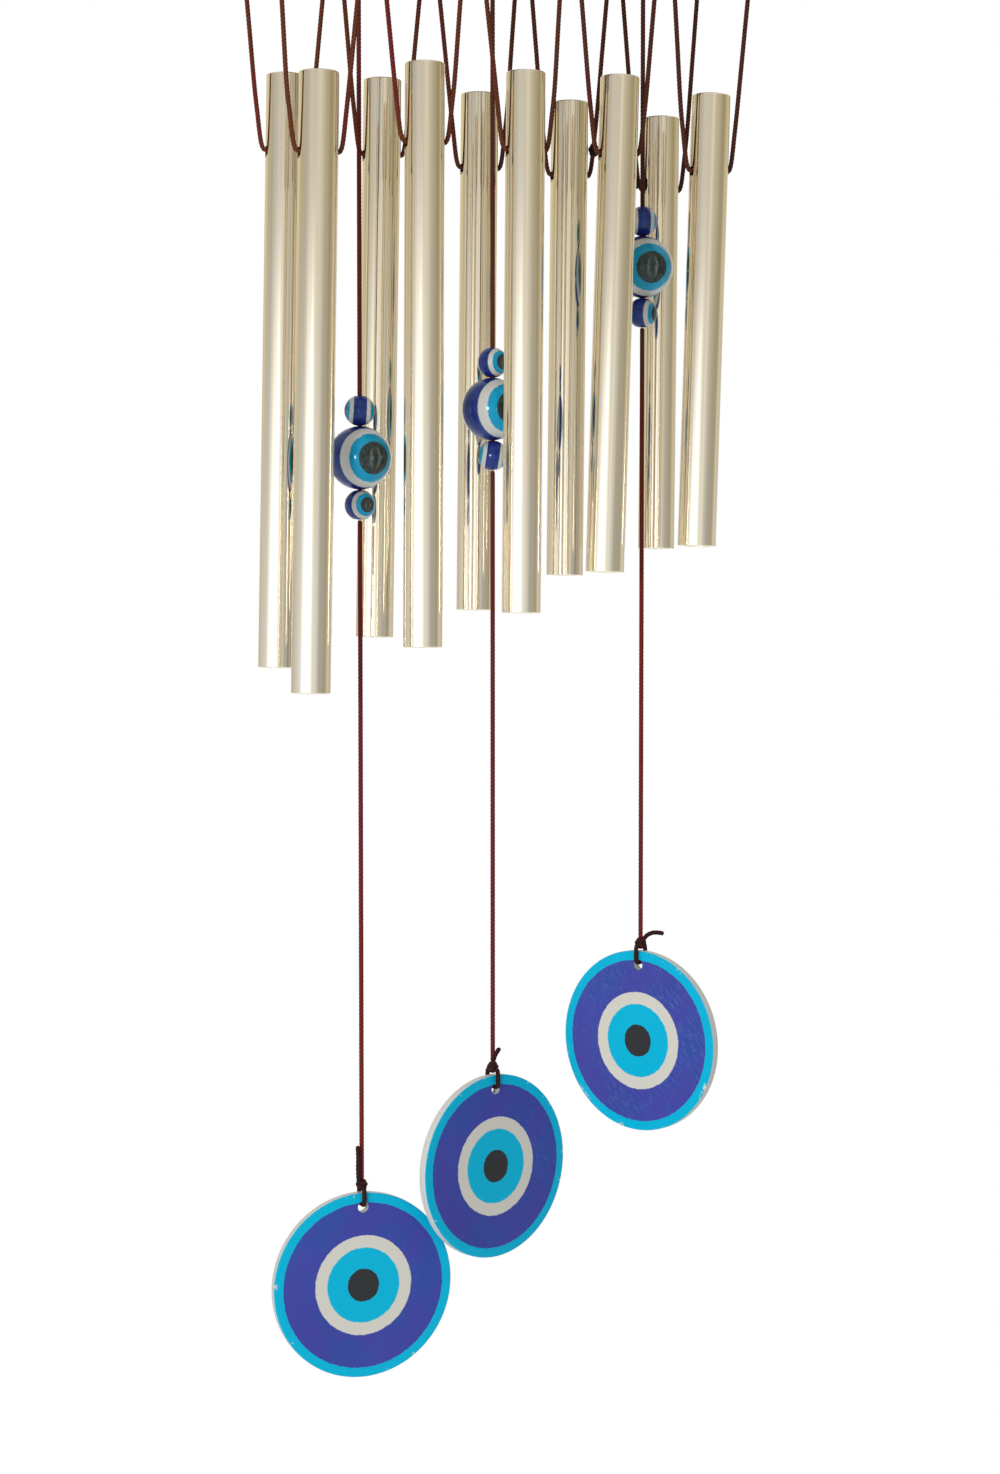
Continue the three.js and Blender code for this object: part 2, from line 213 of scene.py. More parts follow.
class StageSettings(bpy.types.PropertyGroup):
    """Camera, floor and lamps"""

    camera: FloatVectorProperty(
        name="Camera", description="Place of the camera", subtype="TRANSLATION", unit="LENGTH",
        default=(-278.4 * MM, -808.4 * MM, -307.6 * MM),
    )
    turn: an_angle("Turn", "How far the camera looks to the right of +Y", 19.22)
    dip: an_angle("Dip", "How far the camera looks down", 2.93)
    lens: FloatProperty(name="Lens", description="Focal length in millimetres", default=66.56)
    floor_drop: a_length("Floor drop", "How far the floor lies under the lowest disc", 210)
    floor: a_colour("Floor", "Colour of the floor", 244, 244, 243)


SETTINGS = {
    "chime_tubes": TubeSettings,
    "chime_cords": CordSettings,
    "chime_beads": BeadSettings,
    "chime_discs": DiscSettings,
    "chime_carrier": CarrierSettings,
    "chime_stage": StageSettings,
}


# Meshes from arrays


def grid_quads(rows, columns, wrap_rows=False, wrap_columns=False):
    """Corner numbers of the quads of a grid of points, row by row, that may close on itself either way."""
    row = np.arange(rows if wrap_rows else rows - 1)[:, None]
    column = np.arange(columns if wrap_columns else columns - 1)[None, :]
    next_row = (row + 1) % rows
    next_column = (column + 1) % columns
    corners = [row * columns + column, row * columns + next_column,
               next_row * columns + next_column, next_row * columns + column]
    return np.stack(np.broadcast_arrays(*corners), -1).reshape(-1, 4)


def add_object(name, data):
    """A new object in the scene, at the origin."""
    thing = bpy.data.objects.new(name, data)
    bpy.context.scene.collection.objects.link(thing)
    return thing


def new_piece(name, points, faces, own=None, sharp=SHARP_EDGE):
    """A mesh object of those points and faces: doubles merged, faces turned out, smooth but for sharp edges.
    own holds each point in the piece's own axes, for the patterns that follow the piece."""
    mesh = bpy.data.meshes.new(name)
    mesh.from_pydata(points.reshape(-1, 3).tolist(), [], [list(face) for face in faces])
    if own is not None:
        layer = mesh.attributes.new(OWN_PLACE, "FLOAT_VECTOR", "POINT")
        layer.data.foreach_set("vector", np.ascontiguousarray(own, np.float32).ravel())
    shape = bmesh.new()
    shape.from_mesh(mesh)
    bmesh.ops.remove_doubles(shape, verts=shape.verts, dist=MERGE_DISTANCE)
    bmesh.ops.recalc_face_normals(shape, faces=shape.faces)
    shape.to_mesh(mesh)
    shape.free()
    mesh.polygons.foreach_set("use_smooth", np.ones(len(mesh.polygons), bool))
    mesh.set_sharp_from_angle(angle=sharp)
    return add_object(name, mesh)


def dress(piece, body, slot, material, *nodes):
    """Gives a piece its material and body, and hides the nodes that it stands for. The slot is not used."""
    piece.data.materials.append(material)
    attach(piece, body)
    if nodes:
        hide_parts(*nodes)
    return piece


def unit(vectors):
    """The vectors at length 1."""
    return vectors / np.linalg.norm(vectors, axis=-1, keepdims=True)


def full_turn(count):
    """That many angles all the way round, without the first one again."""
    return np.linspace(0, 2 * np.pi, count, endpoint=False)


def turned(out, angle, up):
    """A grid of points at those distances from the Z axis, angles round it and heights."""
    return np.stack(np.broadcast_arrays(out * np.cos(angle), out * np.sin(angle), up), -1)


def round_corner(middle, radius, start, stop, steps=CORNER_STEPS):
    """Points of an arc as (out, up), from start to stop in degrees, anticlockwise from straight out."""
    angle = np.radians(np.linspace(start, stop, steps))
    return np.stack([middle[0] + radius * np.cos(angle), middle[1] + radius * np.sin(angle)], -1)


def parted(turn, half, reach):
    """Parts the seam at both ends of a run of angles into a hole: each lip moves in by half, and the push
    fades to nothing at reach."""
    whole = turn.max()
    from_end = np.minimum(turn, whole - turn)
    pushed = np.where(from_end < reach, half + from_end * (1 - half / reach), from_end)
    return np.where(turn < whole / 2, pushed, whole - pushed)


def lip_quads(rows, far_rows, columns):
    """Quads between two runs of rows of a grid, in its first column and in its last."""
    lips = []
    for column in (0, columns - 1):
        near = rows * columns + column
        far = far_rows * columns + column
        lips.append(np.stack([near[:-1], near[1:], far[1:], far[:-1]], -1))
    return np.vstack(lips)


def walked_along(path):
    """The distance along a path to each of its points."""
    return np.concatenate([[0], np.cumsum(np.linalg.norm(np.diff(path, axis=0), axis=1))])


def smooth_route(points, step):
    """A centripetal Catmull-Rom curve through the points, walked in equal steps of about that length."""
    points = np.asarray(points, float)
    first = 2 * points[0] - points[1]
    last = 2 * points[-1] - points[-2]
    padded = np.vstack([first, points, last])
    gap = np.sqrt(np.linalg.norm(np.diff(padded, axis=0), axis=1))[:, None]
    before, here, after = gap[:-2], gap[1:-1], gap[2:]
    p0, p1, p2, p3 = padded[:-3], padded[1:-2], padded[2:-1], padded[3:]
    leave = ((p1 - p0) / before - (p2 - p0) / (before + here) + (p2 - p1) / here) * here
    arrive = ((p2 - p1) / here - (p3 - p1) / (here + after) + (p3 - p2) / after) * here
    t = np.linspace(0, 1, ROUTE_FINENESS, endpoint=False)[None, :, None]
    p1, p2, leave, arrive = (a[:, None, :] for a in (p1, p2, leave, arrive))
    curve = ((2 * t**3 - 3 * t**2 + 1) * p1 + (t**3 - 2 * t**2 + t) * leave
             + (3 * t**2 - 2 * t**3) * p2 + (t**3 - t**2) * arrive)
    dense = np.vstack([curve.reshape(-1, 3), points[-1:]])
    walked = walked_along(dense)
    count = max(FEWEST_STEPS, int(round(walked[-1] / step)))
    at = np.linspace(0, walked[-1], count + 1)
    return np.stack([np.interp(at, walked, dense[:, k]) for k in range(3)], -1)


# Shader graphs


class Value:
    """A shader value. Python's own operators add the Math nodes."""

    def __init__(self, graph, socket):
        self.graph = graph
        self.socket = socket

    def maths(self, operation, *others):
        """A Math node of that operation on this value and the others."""
        sockets = dict(enumerate([self, *others]))
        return self.graph.node("ShaderNodeMath", {"operation": operation}, sockets)

    def __add__(self, other):
        return self.maths("ADD", other)

    __radd__ = __add__

    def __sub__(self, other):
        return self.maths("SUBTRACT", other)

    def __rsub__(self, other):
        return self.graph.node("ShaderNodeMath", {"operation": "SUBTRACT"}, {0: other, 1: self})

    def __mul__(self, other):
        return self.maths("MULTIPLY", other)

    __rmul__ = __mul__

    def __truediv__(self, other):
        return self.maths("DIVIDE", other)

    def __abs__(self):
        return self.maths("ABSOLUTE")

    def up_to(self, limit, soft):
        """1 where the value is under the limit and 0 over it, with a soft step of that width."""
        settings = {"interpolation_type": "SMOOTHSTEP"}
        sockets = {"Value": self, "From Min": limit + soft / 2, "From Max": limit - soft / 2}
        return self.graph.node("ShaderNodeMapRange", settings, sockets)

    def between(self, low, high, new_low, new_high):
        """The value carried from one range to another, and held at its ends."""
        sockets = {"Value": self, "From Min": low, "From Max": high, "To Min": new_low, "To Max": new_high}
        return self.graph.node("ShaderNodeMapRange", {}, sockets)


class Graph:
    """The nodes of one material or world."""

    def __init__(self, tree):
        self.tree = tree
        tree.nodes.clear()

    def node(self, kind, settings=None, sockets=None, output=0):
        """Adds a node: its settings first, then values or links into its sockets. Gives back one output."""
        made = self.tree.nodes.new(kind)
        for key, value in (settings or {}).items():
            if key == "stops":
                self.set_stops(made.color_ramp.elements, value)
            else:
                setattr(made, key, value)
        for key, value in (sockets or {}).items():
            target = made.inputs[key] if isinstance(key, int) else self.find(made, key)
            if isinstance(value, Value):
                self.tree.links.new(value.socket, target)
            else:
                target.default_value = value
        return Value(self, made.outputs[output]) if len(made.outputs) else made

    @staticmethod
    def find(made, key):
        """The input of that name that is in use."""
        return next(s for s in made.inputs if s.enabled and key in (s.name, s.identifier))

    @staticmethod
    def set_stops(elements, stops):
        """Sets a ramp's stops, each a place from 0 to 1 and a colour."""
        while len(elements) < len(stops):
            elements.new(1)
        for element, (place, colour) in zip(elements, stops):
            element.position = place
            element.color = (*colour, 1)

    def own_place(self):
        """The point in the piece's own axes, in metres."""
        return self.node("ShaderNodeAttribute", {"attribute_name": OWN_PLACE}, output=1)

    def object_place(self):
        """The point in the frame's axes, in metres."""
        return self.node("ShaderNodeTexCoord", output=3)

    def split(self, vector):
        """The three parts of a vector."""
        made = self.node("ShaderNodeSeparateXYZ", {}, {0: vector}).socket.node
        return [Value(self, part) for part in made.outputs]

    def length(self, vector):
        """The length of a vector."""
        return self.node("ShaderNodeVectorMath", {"operation": "LENGTH"}, {0: vector}, output=1)

    def stretched(self, vector, scale):
        """The vector times a scale for each axis."""
        return self.node("ShaderNodeMapping", {}, {"Vector": vector, "Scale": scale})

    def rays(self):
        """Whether a ray comes from the camera, from gloss or through glass, each as 0 or 1."""
        made = self.node("ShaderNodeLightPath").socket.node
        return [Value(self, made.outputs[f"Is {kind} Ray"]) for kind in ("Camera", "Glossy", "Transmission")]

    def noise(self, vector, scale=1.0, detail=3.0, roughness=0.5):
        """Noise of about 0.2 to 0.8 over a vector."""
        sockets = {"Vector": vector, "Scale": scale, "Detail": detail, "Roughness": roughness}
        return self.node("ShaderNodeTexNoise", {}, sockets)

    def blend(self, share, first, second):
        """First where share is 0 and second where it is 1, both colours."""
        sockets = {"Factor_Float": share}
        for key, colour in (("A_Color", first), ("B_Color", second)):
            sockets[key] = colour if isinstance(colour, Value) else (*colour, 1)
        return self.node("ShaderNodeMix", {"data_type": "RGBA"}, sockets, output=2)

    def bump(self, height, strength, distance):
        """A normal that a height tilts, for fine relief."""
        sockets = {"Height": height, "Strength": strength, "Distance": distance}
        return self.node("ShaderNodeBump", {}, sockets)

    def finish(self, **sockets):
        """Ends the graph in a Principled surface with those sockets, named with _ for a space."""
        named = {key.replace("_", " "): value for key, value in sockets.items()}
        surface = self.node("ShaderNodeBsdfPrincipled", {}, named)
        self.node("ShaderNodeOutputMaterial", {}, {"Surface": surface})


def new_graph(name):
    """A new material and its empty graph."""
    material = bpy.data.materials.new(name)
    material.use_nodes = True
    return material, Graph(material.node_tree)


def drawn_metal(settings):
    """Champagne metal tube: fine draw lines along the tube, in wider bands of two tints."""
    material, graph = new_graph("drawn_champagne_metal")
    place = graph.own_place()
    lines = graph.noise(graph.stretched(place, (1400, 1400, 0.8)), detail=3, roughness=0.6)
    bands = graph.noise(graph.stretched(place, (260, 260, 0.5)), detail=2)
    share = lines.between(0.35, 0.65, 0, 0.6) + bands.between(0.4, 0.7, 0, 0.5)
    graph.finish(
        Base_Color=graph.blend(share, settings.bright, settings.deep),
        Metallic=1.0,
        Roughness=0.09 + lines.between(0.3, 0.7, 0, 0.02),
    )
    return material


# Between which heights the cords grow worn, and between which heights and X a painted shade darkens them
# towards the right
WORN_HEIGHTS = (-0.34, -0.24)
RIGHT_SHADE_HEIGHTS = (-0.25, -0.19)
RIGHT_SHADE_ACROSS = (-0.03, 0.06)


def twisted_fibre(name, settings, dark, soil):
    """Maroon cord: fibres along each ply, painted shade in the grooves, worn brown stretches, more of them
    near the top, painted shade towards the right over the short tubes, and all of it darkened by a soil share."""
    material, graph = new_graph(name)
    place = graph.own_place()
    here = graph.object_place()
    depth = graph.split(place)[0]
    side, _, height = graph.split(here)
    # Painted shade: the cords over the short tubes grow darker and browner towards the right
    right_shade = height.between(*RIGHT_SHADE_HEIGHTS, 0, 1) * side.between(*RIGHT_SHADE_ACROSS, 0.12, 1)
    fibre = graph.noise(graph.stretched(place, (0, 9, 160)), detail=3, roughness=0.7)
    patches = graph.noise(graph.stretched(here, (60, 60, 26)), detail=3)
    worn = patches + height.between(*WORN_HEIGHTS, -0.12, 0.14) + right_shade * 0.12
    # Painted shade: the depth in a groove pulls the fibres towards the dark colour; the fibre noise adds
    # random tone
    shade = depth * 0.9 + fibre.between(0.35, 0.75, soil, soil + 0.35) + right_shade * 0.42
    dyed = graph.blend(worn.between(0.48, 0.68, 0, 0.8), settings.maroon, settings.tan)
    graph.finish(
        Base_Color=graph.blend(shade, dyed, dark),
        Roughness=0.72 + fibre.between(0.3, 0.7, -0.08, 0.12),
        Specular_IOR_Level=0.2,
        Normal=graph.bump(fibre, 0.4, 0.08 * MM),
    )
    return material


# How far the painted reflection arcs in a pupil stand from its middle, across and up, as shares of the bead's
# radius
REFLECTION_ARC_REACH = (0.15, 0.3)


def eye_resin(name, settings, share):
    """Cobalt bead with an eye on two opposite sides, its rings scaled by a share. The own place has the eyes
    on its Y axis, and length 1. Two pale arcs beside the middle of the pupil are a painted reflection, as a
    clear drop would show."""
    material, graph = new_graph(name)
    place = graph.own_place()
    side, front, _ = graph.split(place)
    angle = abs(front).maths("ARCCOSINE")
    wobble = graph.noise(place, scale=8, detail=2).between(0.3, 0.7, -1, 1)
    cloud = graph.noise(place, scale=2.2, detail=3)
    mottles = graph.noise(place, scale=9, detail=3).between(0.4, 0.62, 0, 1)
    pupil = graph.blend(mottles, settings.pupil, dimmed(settings.pupil, 0.45))
    colour = graph.blend(cloud.between(0.35, 0.7, 0, 0.7), settings.blue, dimmed(settings.blue, 0.55))
    for reach, ring, unsteady in (
        (settings.white_reach, settings.white, 0.008),
        (settings.iris_reach, settings.cyan, 0.022),
        (settings.pupil_reach, pupil, 0.006),
    ):
        colour = graph.blend((angle + wobble * unsteady).up_to(reach * share, 0.05), colour, ring)
    # Painted reflection: two speckled pale arcs beside the middle of the pupil
    oval = graph.length(graph.stretched(place, (1 / REFLECTION_ARC_REACH[0], 0, 1 / REFLECTION_ARC_REACH[1])))
    arcs = abs(oval - 1).between(0, 0.45, 1, 0) * abs(side).between(0.02, REFLECTION_ARC_REACH[0], 0, 1)
    specks = graph.noise(place, scale=26, detail=3, roughness=0.7).between(0.35, 0.75, 0.1, 1)
    colour = graph.blend(arcs * specks, colour, settings.glint)
    graph.finish(
        Base_Color=colour,
        Roughness=0.13 + graph.noise(place, scale=16, detail=3).between(0.5, 0.75, 0, 0.08),
        Specular_IOR_Level=0.4,
        Specular_Tint=(0.6, 0.95, 1, 1),
    )
    return material


# Between which X the discs grow rubbed and chipped, and how far the bare edge reaches over their faces
RUBBED_ACROSS = (0, 0.045)
BARE_EDGE = 0.22 * MM
RING_SOFTNESS = 0.008


def printed_sheet(settings):
    """Printed eye on a white sheet: flat rings on both faces, a bare edge, scratches and chips at the rim.
    The own place has the disc's middle at its origin and its faces along X and Z."""
    material, graph = new_graph("printed_eye_sheet")
    place = graph.own_place()
    depth = graph.split(place)[1]
    radius = settings.diameter / 2
    out = graph.length(graph.stretched(place, (1 / radius, 0, 1 / radius)))
    grain = graph.noise(place, scale=900, detail=2)
    ragged = out + grain.between(0.3, 0.7, -0.004, 0.004)
    tone = graph.noise(place, scale=38, detail=4)
    here = graph.object_place()
    wear = graph.split(here)[0].between(*RUBBED_ACROSS, 0.2, 1)
    slanted = graph.node("ShaderNodeMapping", {}, {"Vector": place, "Rotation": (0, -0.9, 0)})
    scratches = graph.noise(graph.stretched(slanted, (260, 0, 3600)), detail=2, roughness=0.7)
    uneven = graph.noise(place, scale=75, detail=3, roughness=0.6)
    blue = graph.blend(uneven.between(0.42, 0.62, 0, 0.8), settings.blue, settings.azure)
    blue = graph.blend(tone.between(0.35, 0.7, 0, 0.45), blue, dimmed(settings.blue, 0.72))
    rubbed = wear * uneven.between(0.35, 0.6, 0.2, 1)
    blue = graph.blend(scratches.between(0.52, 0.78, 0, 0.22) * rubbed, blue, settings.white)
    colour = settings.cyan
    for share, ring in (
        (settings.blue_share, blue),
        (settings.white_share, settings.white),
        (settings.iris_share, settings.cyan),
        (settings.pupil_share, settings.pupil),
    ):
        colour = graph.blend(ragged.up_to(share, RING_SOFTNESS), colour, ring)
    chips = graph.noise(here, scale=520, detail=3, roughness=0.6)
    worn = graph.noise(here, scale=32, detail=1).between(0.5, 0.6, 0, 0.09)
    chipped = (chips + worn * wear).between(0.66, 0.70, 0, 1) * (1 - out.up_to(0.97, 0.03))
    colour = graph.blend(chipped, colour, settings.sheet)
    on_edge = abs(depth).up_to(settings.thickness / 2 - BARE_EDGE, 0.12 * MM)
    colour = graph.blend(on_edge, colour, settings.sheet)
    graph.finish(
        Base_Color=colour,
        Roughness=0.4 + scratches.between(0.4, 0.7, -0.04, 0.12),
        Specular_IOR_Level=0.15,
        Normal=graph.bump(grain, 0.12, 0.05 * MM),
    )
    return material


def oiled_wood(settings):
    """Pale board with long grain and fine pores."""
    material, graph = new_graph("oiled_wood")
    place = graph.object_place()
    warp = graph.noise(graph.stretched(place, (9, 40, 40)), detail=3)
    rings = graph.noise(graph.stretched(place, (14, 210, 150)), detail=4, roughness=0.55)
    pores = graph.noise(graph.stretched(place, (120, 2600, 2600)), detail=2)
    share = rings.between(0.38, 0.66, 0, 0.8) + warp.between(0.4, 0.7, 0, 0.25)
    share = share + pores.between(0.6, 0.8, 0, 0.4)
    graph.finish(
        Base_Color=graph.blend(share, settings.pale, settings.brown),
        Roughness=0.46 + pores.between(0.4, 0.8, -0.05, 0.2),
        Normal=graph.bump(pores, 0.25, 0.1 * MM),
    )
    return material


def ring_steel(settings):
    """Polished steel wire with fine wear."""
    material, graph = new_graph("polished_ring_steel")
    wear = graph.noise(graph.object_place(), scale=240, detail=3, roughness=0.6)
    graph.finish(
        Base_Color=graph.blend(wear.between(0.45, 0.75, 0, 0.5), settings.steel, settings.worn_steel),
        Metallic=1.0,
        Roughness=0.12 + wear.between(0.4, 0.75, 0, 0.12),
    )
    return material


# Cords and knots

CORD_FIBRE = "twisted_maroon_fibre"
KNOT_FIBRE = "soiled_knot_fibre"
CORD_STEP = 0.4 * MM
CORD_SIDES = 18
STRAIGHT_POINTS = 16
CORD_DOME = 0.7 * MM
CLOSED_TIP = 1e-4
SHARP_PLY = math.radians(75)
GROOVE = 0.16
KNOT_ROWS = 49
KNOT_COLUMNS = 40
MOUTH_DEPTH = 0.6 * MM


def ply_place(groove, phase, along):
    """The own place of a cord's points: the depth in a groove, then across a ply and along it."""
    return np.stack(np.broadcast_arrays(groove, np.sin(phase), along), -1).reshape(-1, 3)


def swept_cord(name, points, across, settings, body, fibre, *nodes):
    """A twisted cord along a smooth route through the points, dressed for its body. Round the route, at
    angle a and distance s, its radius is r (1 - g (1 - |cos(n (a - 2 pi s / lay) / 2)|)) for n plies and
    grooves g deep, and both ends are domed. across is a direction that the route never runs along. Gives
    back the cord and its route."""
    route = smooth_route(points, CORD_STEP)
    tangent = unit(np.gradient(route, axis=0))
    across = np.asarray(across, float)
    first = unit(across - (tangent @ across)[:, None] * tangent)
    second = np.cross(tangent, first)
    walked = walked_along(route)[:, None]
    angle = full_turn(CORD_SIDES)
    phase = settings.plies * (angle - 2 * np.pi * walked / settings.lay) / 2
    groove = 1 - np.abs(np.cos(phase))
    to_end = np.clip(np.minimum(walked, walked[-1] - walked) / CORD_DOME, 0, 1)
    dome = np.sqrt(np.clip(1 - (1 - to_end) ** 2, 0, 1))
    size = settings.diameter / 2 * (1 - GROOVE * groove) * np.maximum(dome, CLOSED_TIP)
    skin = (route[:, None]
            + (size * np.cos(angle))[..., None] * first[:, None]
            + (size * np.sin(angle))[..., None] * second[:, None])
    quads = grid_quads(len(route), CORD_SIDES, wrap_columns=True)
    cord = new_piece(name, skin, quads, ply_place(groove, phase, walked), SHARP_PLY)
    return dress(cord, body, "cord", fibre, *nodes), route


def wound_knot(name, middle, width, turns, body, fibre, *nodes, tall=1, mouth=0):
    """A pulled-tight knot, dressed for its body: a ball, tall times as high as wide, that swells over each
    wound turn. At height angle b and angle a round it, the radius is 1 - g cos(b) (1 - |cos(turns b + a)|).
    A mouth is the radius of a hollow in its top, where the cord over it goes in."""
    rise = np.linspace(-np.pi / 2, np.pi / 2, KNOT_ROWS)[:, None]
    angle = full_turn(KNOT_COLUMNS)
    phase = turns * rise + angle
    groove = (1 - np.abs(np.cos(phase))) * np.cos(rise)
    size = 1 - GROOVE * groove
    out = size * np.cos(rise) * width / 2
    up = size * np.sin(rise) * tall * width / 2
    hollow = (np.cos(rise[:, 0]) * width / 2 < mouth) & (rise[:, 0] > 0)
    if hollow.any():
        along = np.linspace(0, 1, hollow.sum() + 1)[1:, None]
        brim = up[~hollow].max()
        out[hollow] = mouth * np.clip(2 - 2 * along, 0, 1)
        up[hollow] = brim - MOUTH_DEPTH * np.clip(2 * along, 0, 1)
    quads = grid_quads(KNOT_ROWS, KNOT_COLUMNS, wrap_columns=True)
    own = ply_place(groove, phase, angle * width / 2)
    knot = new_piece(name, turned(out, angle, up) + np.asarray(middle), quads, own, SHARP_PLY)
    return dress(knot, body, "cord", fibre, *nodes)


# Routes in millimetres, repeated from the part's source
LOOP_SHOULDER = [
    (-1.8, 0), (-0.4, 0.05), (0.7, 0.45), (1.25, 1.5), (1.65, 3.2), (2.1, 6.5), (2.6, 11), (3.4, 18),
]
LOOP_SPREAD = 26.8
SEAT_GAP = 0.3
HOLE_RISE = 0.5
TURN_BEND = [(0, -0.6), (0.4, 0.75), (1.5, 1.05)]
HANGER_HOLES = (76, 12)
HANGER_LEAVE = (1.6, 4)
HANGER_BOW = 1
HANGER_APPROACH = [(2.4, 0.4, -3.6), (0.5, 0, -0.4)]
HANGER_REACH = 2.5
HANGER_BESIDE = 1.05
TIE_RIM_GAP = 0.5
TIE_START = (0.9, 0.2)
TIE_TAILS = [
    [(-1.4, 1.2, 1.9), (-1.55, 1.2, 5), (-1.5, 1.2, 9), (-1.7, 1.3, 12.6)],
    [(-1.1, 1.5, 2), (-0.5, 1.85, 4.2), (0.9, 2.5, 6.4)],
    [(1.75, 0.6, 1.5), (2.4, -0.35, 2.7), (3.5, -2, 3.4), (4.8, -3.7, 3.3), (6, -4.7, 3)],
]

# Knots in millimetres, and the turns wound into them. A loop's knot swells a little out of its solid
KNOT_DIAMETER = 4
KNOT_TURNS = 3.5
STOP_KNOT = 2.4
STOP_TURNS = 2.5
LOOP_KNOT = 3.7
LOOP_KNOT_TALL = 1.2
LOOP_KNOT_TURNS = 3
LOOP_KNOTS = {"back_4": (1, 2.6, 8.8), "back_5": (-1, 2.6, 2.4)}
TIE_KNOT = 3.8

# Where cords meet joints and knots, in millimetres
JOINT_GAP = 0.1
TURN_GAP = 0.2
STOP_REACH = 0.2
TIE_ENTRY = 1.3
MOUTH_GAP = 0.1
# Where a tail starts in its knot, as shares of the way to its first point along X, Y and Z
TAIL_START = (0.8, 0.8, 0.25)


def beside_hole(name, side, tube_radius, outside, up):
    """A point on one side of a tube's cross hole, that far outside the tube and up, in millimetres."""
    hole = joint_place(f"tube_{name}_rock")
    return hole + (side * (tube_radius + outside * MM), 0, (up + HOLE_RISE) * MM)


def loop_route(name, tube_radius):
    """The way of one loop: down a strand, through the tube's cross hole and up the other strand."""
    top = joint_place(f"loop_{name}_swing")
    hole = joint_place(f"tube_{name}_rock")

    def strand(side):
        """The points of the strand on one side, from the hole up."""
        shoulder = [beside_hole(name, side, tube_radius, *place) for place in LOOP_SHOULDER]
        end = top + (side * LOOP_SPREAD / 2 * MM, 0, -JOINT_GAP * MM)
        return [*shoulder, (shoulder[-1] + end) / 2, end]

    return [*strand(-1)[::-1], hole + (0, 0, HOLE_RISE * MM), *strand(1)]


class CHIME_OT_loops(bpy.types.Operator):
    """Makes the cord loop of each tube, and its turn over the board"""

    bl_idname = "chime.loops"
    bl_label = "Loops"

    def execute(self, context):
        settings = context.scene.chime_cords
        fibre = twisted_fibre(CORD_FIBRE, settings, settings.umber, 0)
        soiled = twisted_fibre(KNOT_FIBRE, settings, settings.soot, 0.6)
        tube_radius = context.scene.chime_tubes.diameter / 2
        board_top = node_box("board")[1][2]
        for name in TUBE_NAMES:
            body = f"loop_{name}"
            points = loop_route(name, tube_radius)
            loop, route = swept_cord(f"cord_{body}", points, (0, 1, 0), settings, body, fibre, body)
            if name in LOOP_KNOTS:
                side, outside, up = LOOP_KNOTS[name]
                middle = beside_hole(name, side, tube_radius, outside, up)
                knot = wound_knot(f"knot_{body}", middle, LOOP_KNOT * MM, LOOP_KNOT_TURNS, body, soiled,
                                  tall=LOOP_KNOT_TALL)
            self.make_turn(name, board_top, settings, fibre)
        return {"FINISHED"}

    def make_turn(self, name, board_top, settings, fibre):
        """The cord from one hole of a loop over the board to the other."""
        foot = joint_place(f"loop_{name}_swing")

        def rise(side):
            """The points out of the hole on one side and over its edge, inward."""
            hole = foot + (side * LOOP_SPREAD / 2 * MM, 0, 0)
            top = np.array([hole[0], hole[1], board_top])
            bend = [top + (-side * inward * MM, 0, up * MM) for inward, up in TURN_BEND]
            return [hole + (0, 0, TURN_GAP * MM), *bend]

        points = [*rise(-1), *rise(1)[::-1]]
        swept_cord(f"cord_turn_{name}", points, (0, 1, 0), settings, "carrier", fibre, f"turn_{name}")


class CHIME_OT_hangers(bpy.types.Operator):
    """Makes the two hanger cords from the ring to the board, with their knots"""

    bl_idname = "chime.hangers"
    bl_label = "Hangers"

    def execute(self, context):
        settings = context.scene.chime_cords
        fibre = bpy.data.materials[CORD_FIBRE]
        low, high = node_box("board")
        centre = (low[0] + high[0]) / 2 / MM
        knot_z = low[2] / MM - SEAT_GAP - KNOT_DIAMETER / 2
        forward = HANGER_HOLES[1]
        for side_name, side in (("left", -1), ("right", 1)):
            node = f"hanger_{side_name}"
            x = centre + side * HANGER_HOLES[0]
            *half, crown = self.half_route(x, side, knot_z, high[2] / MM)
            points = np.array([*half, crown, *[(a, -b, c) for a, b, c in half[::-1]]]) * MM
            cord, route = swept_cord(f"cord_{node}", points, (1, 0, 0), settings, "carrier", fibre, node)
            for end, y in (("front", -forward), ("back", forward)):
                middle = np.array([x, y, knot_z]) * MM
                wound_knot(f"knot_{node}_{end}", middle, KNOT_DIAMETER * MM, KNOT_TURNS,
                                        "carrier", fibre)
        return {"FINISHED"}

    def half_route(self, x, side, knot_z, top):
        """The front half of a hanger's way, in millimetres: from its knot through the board to its crown
        over the ring's wire."""
        ring_bottom = joint_place("chime_swing")[2] / MM
        forward = HANGER_HOLES[1]
        beside = side * HANGER_BESIDE
        half = [
            (x, -forward, knot_z),
            (x, -forward, top),
            (x - side * HANGER_LEAVE[0], -forward, top + HANGER_LEAVE[1]),
            ((x + beside) / 2, -(forward + HANGER_REACH) / 2, (top + ring_bottom) / 2 + HANGER_BOW),
        ]
        for out, ahead, up in HANGER_APPROACH:
            half.append((beside + side * out, -HANGER_REACH - ahead, ring_bottom + up))
        lean = HANGER_REACH * math.sqrt(0.5)
        return [*half, (beside, -lean, ring_bottom + lean), (beside, 0, ring_bottom + HANGER_REACH)]


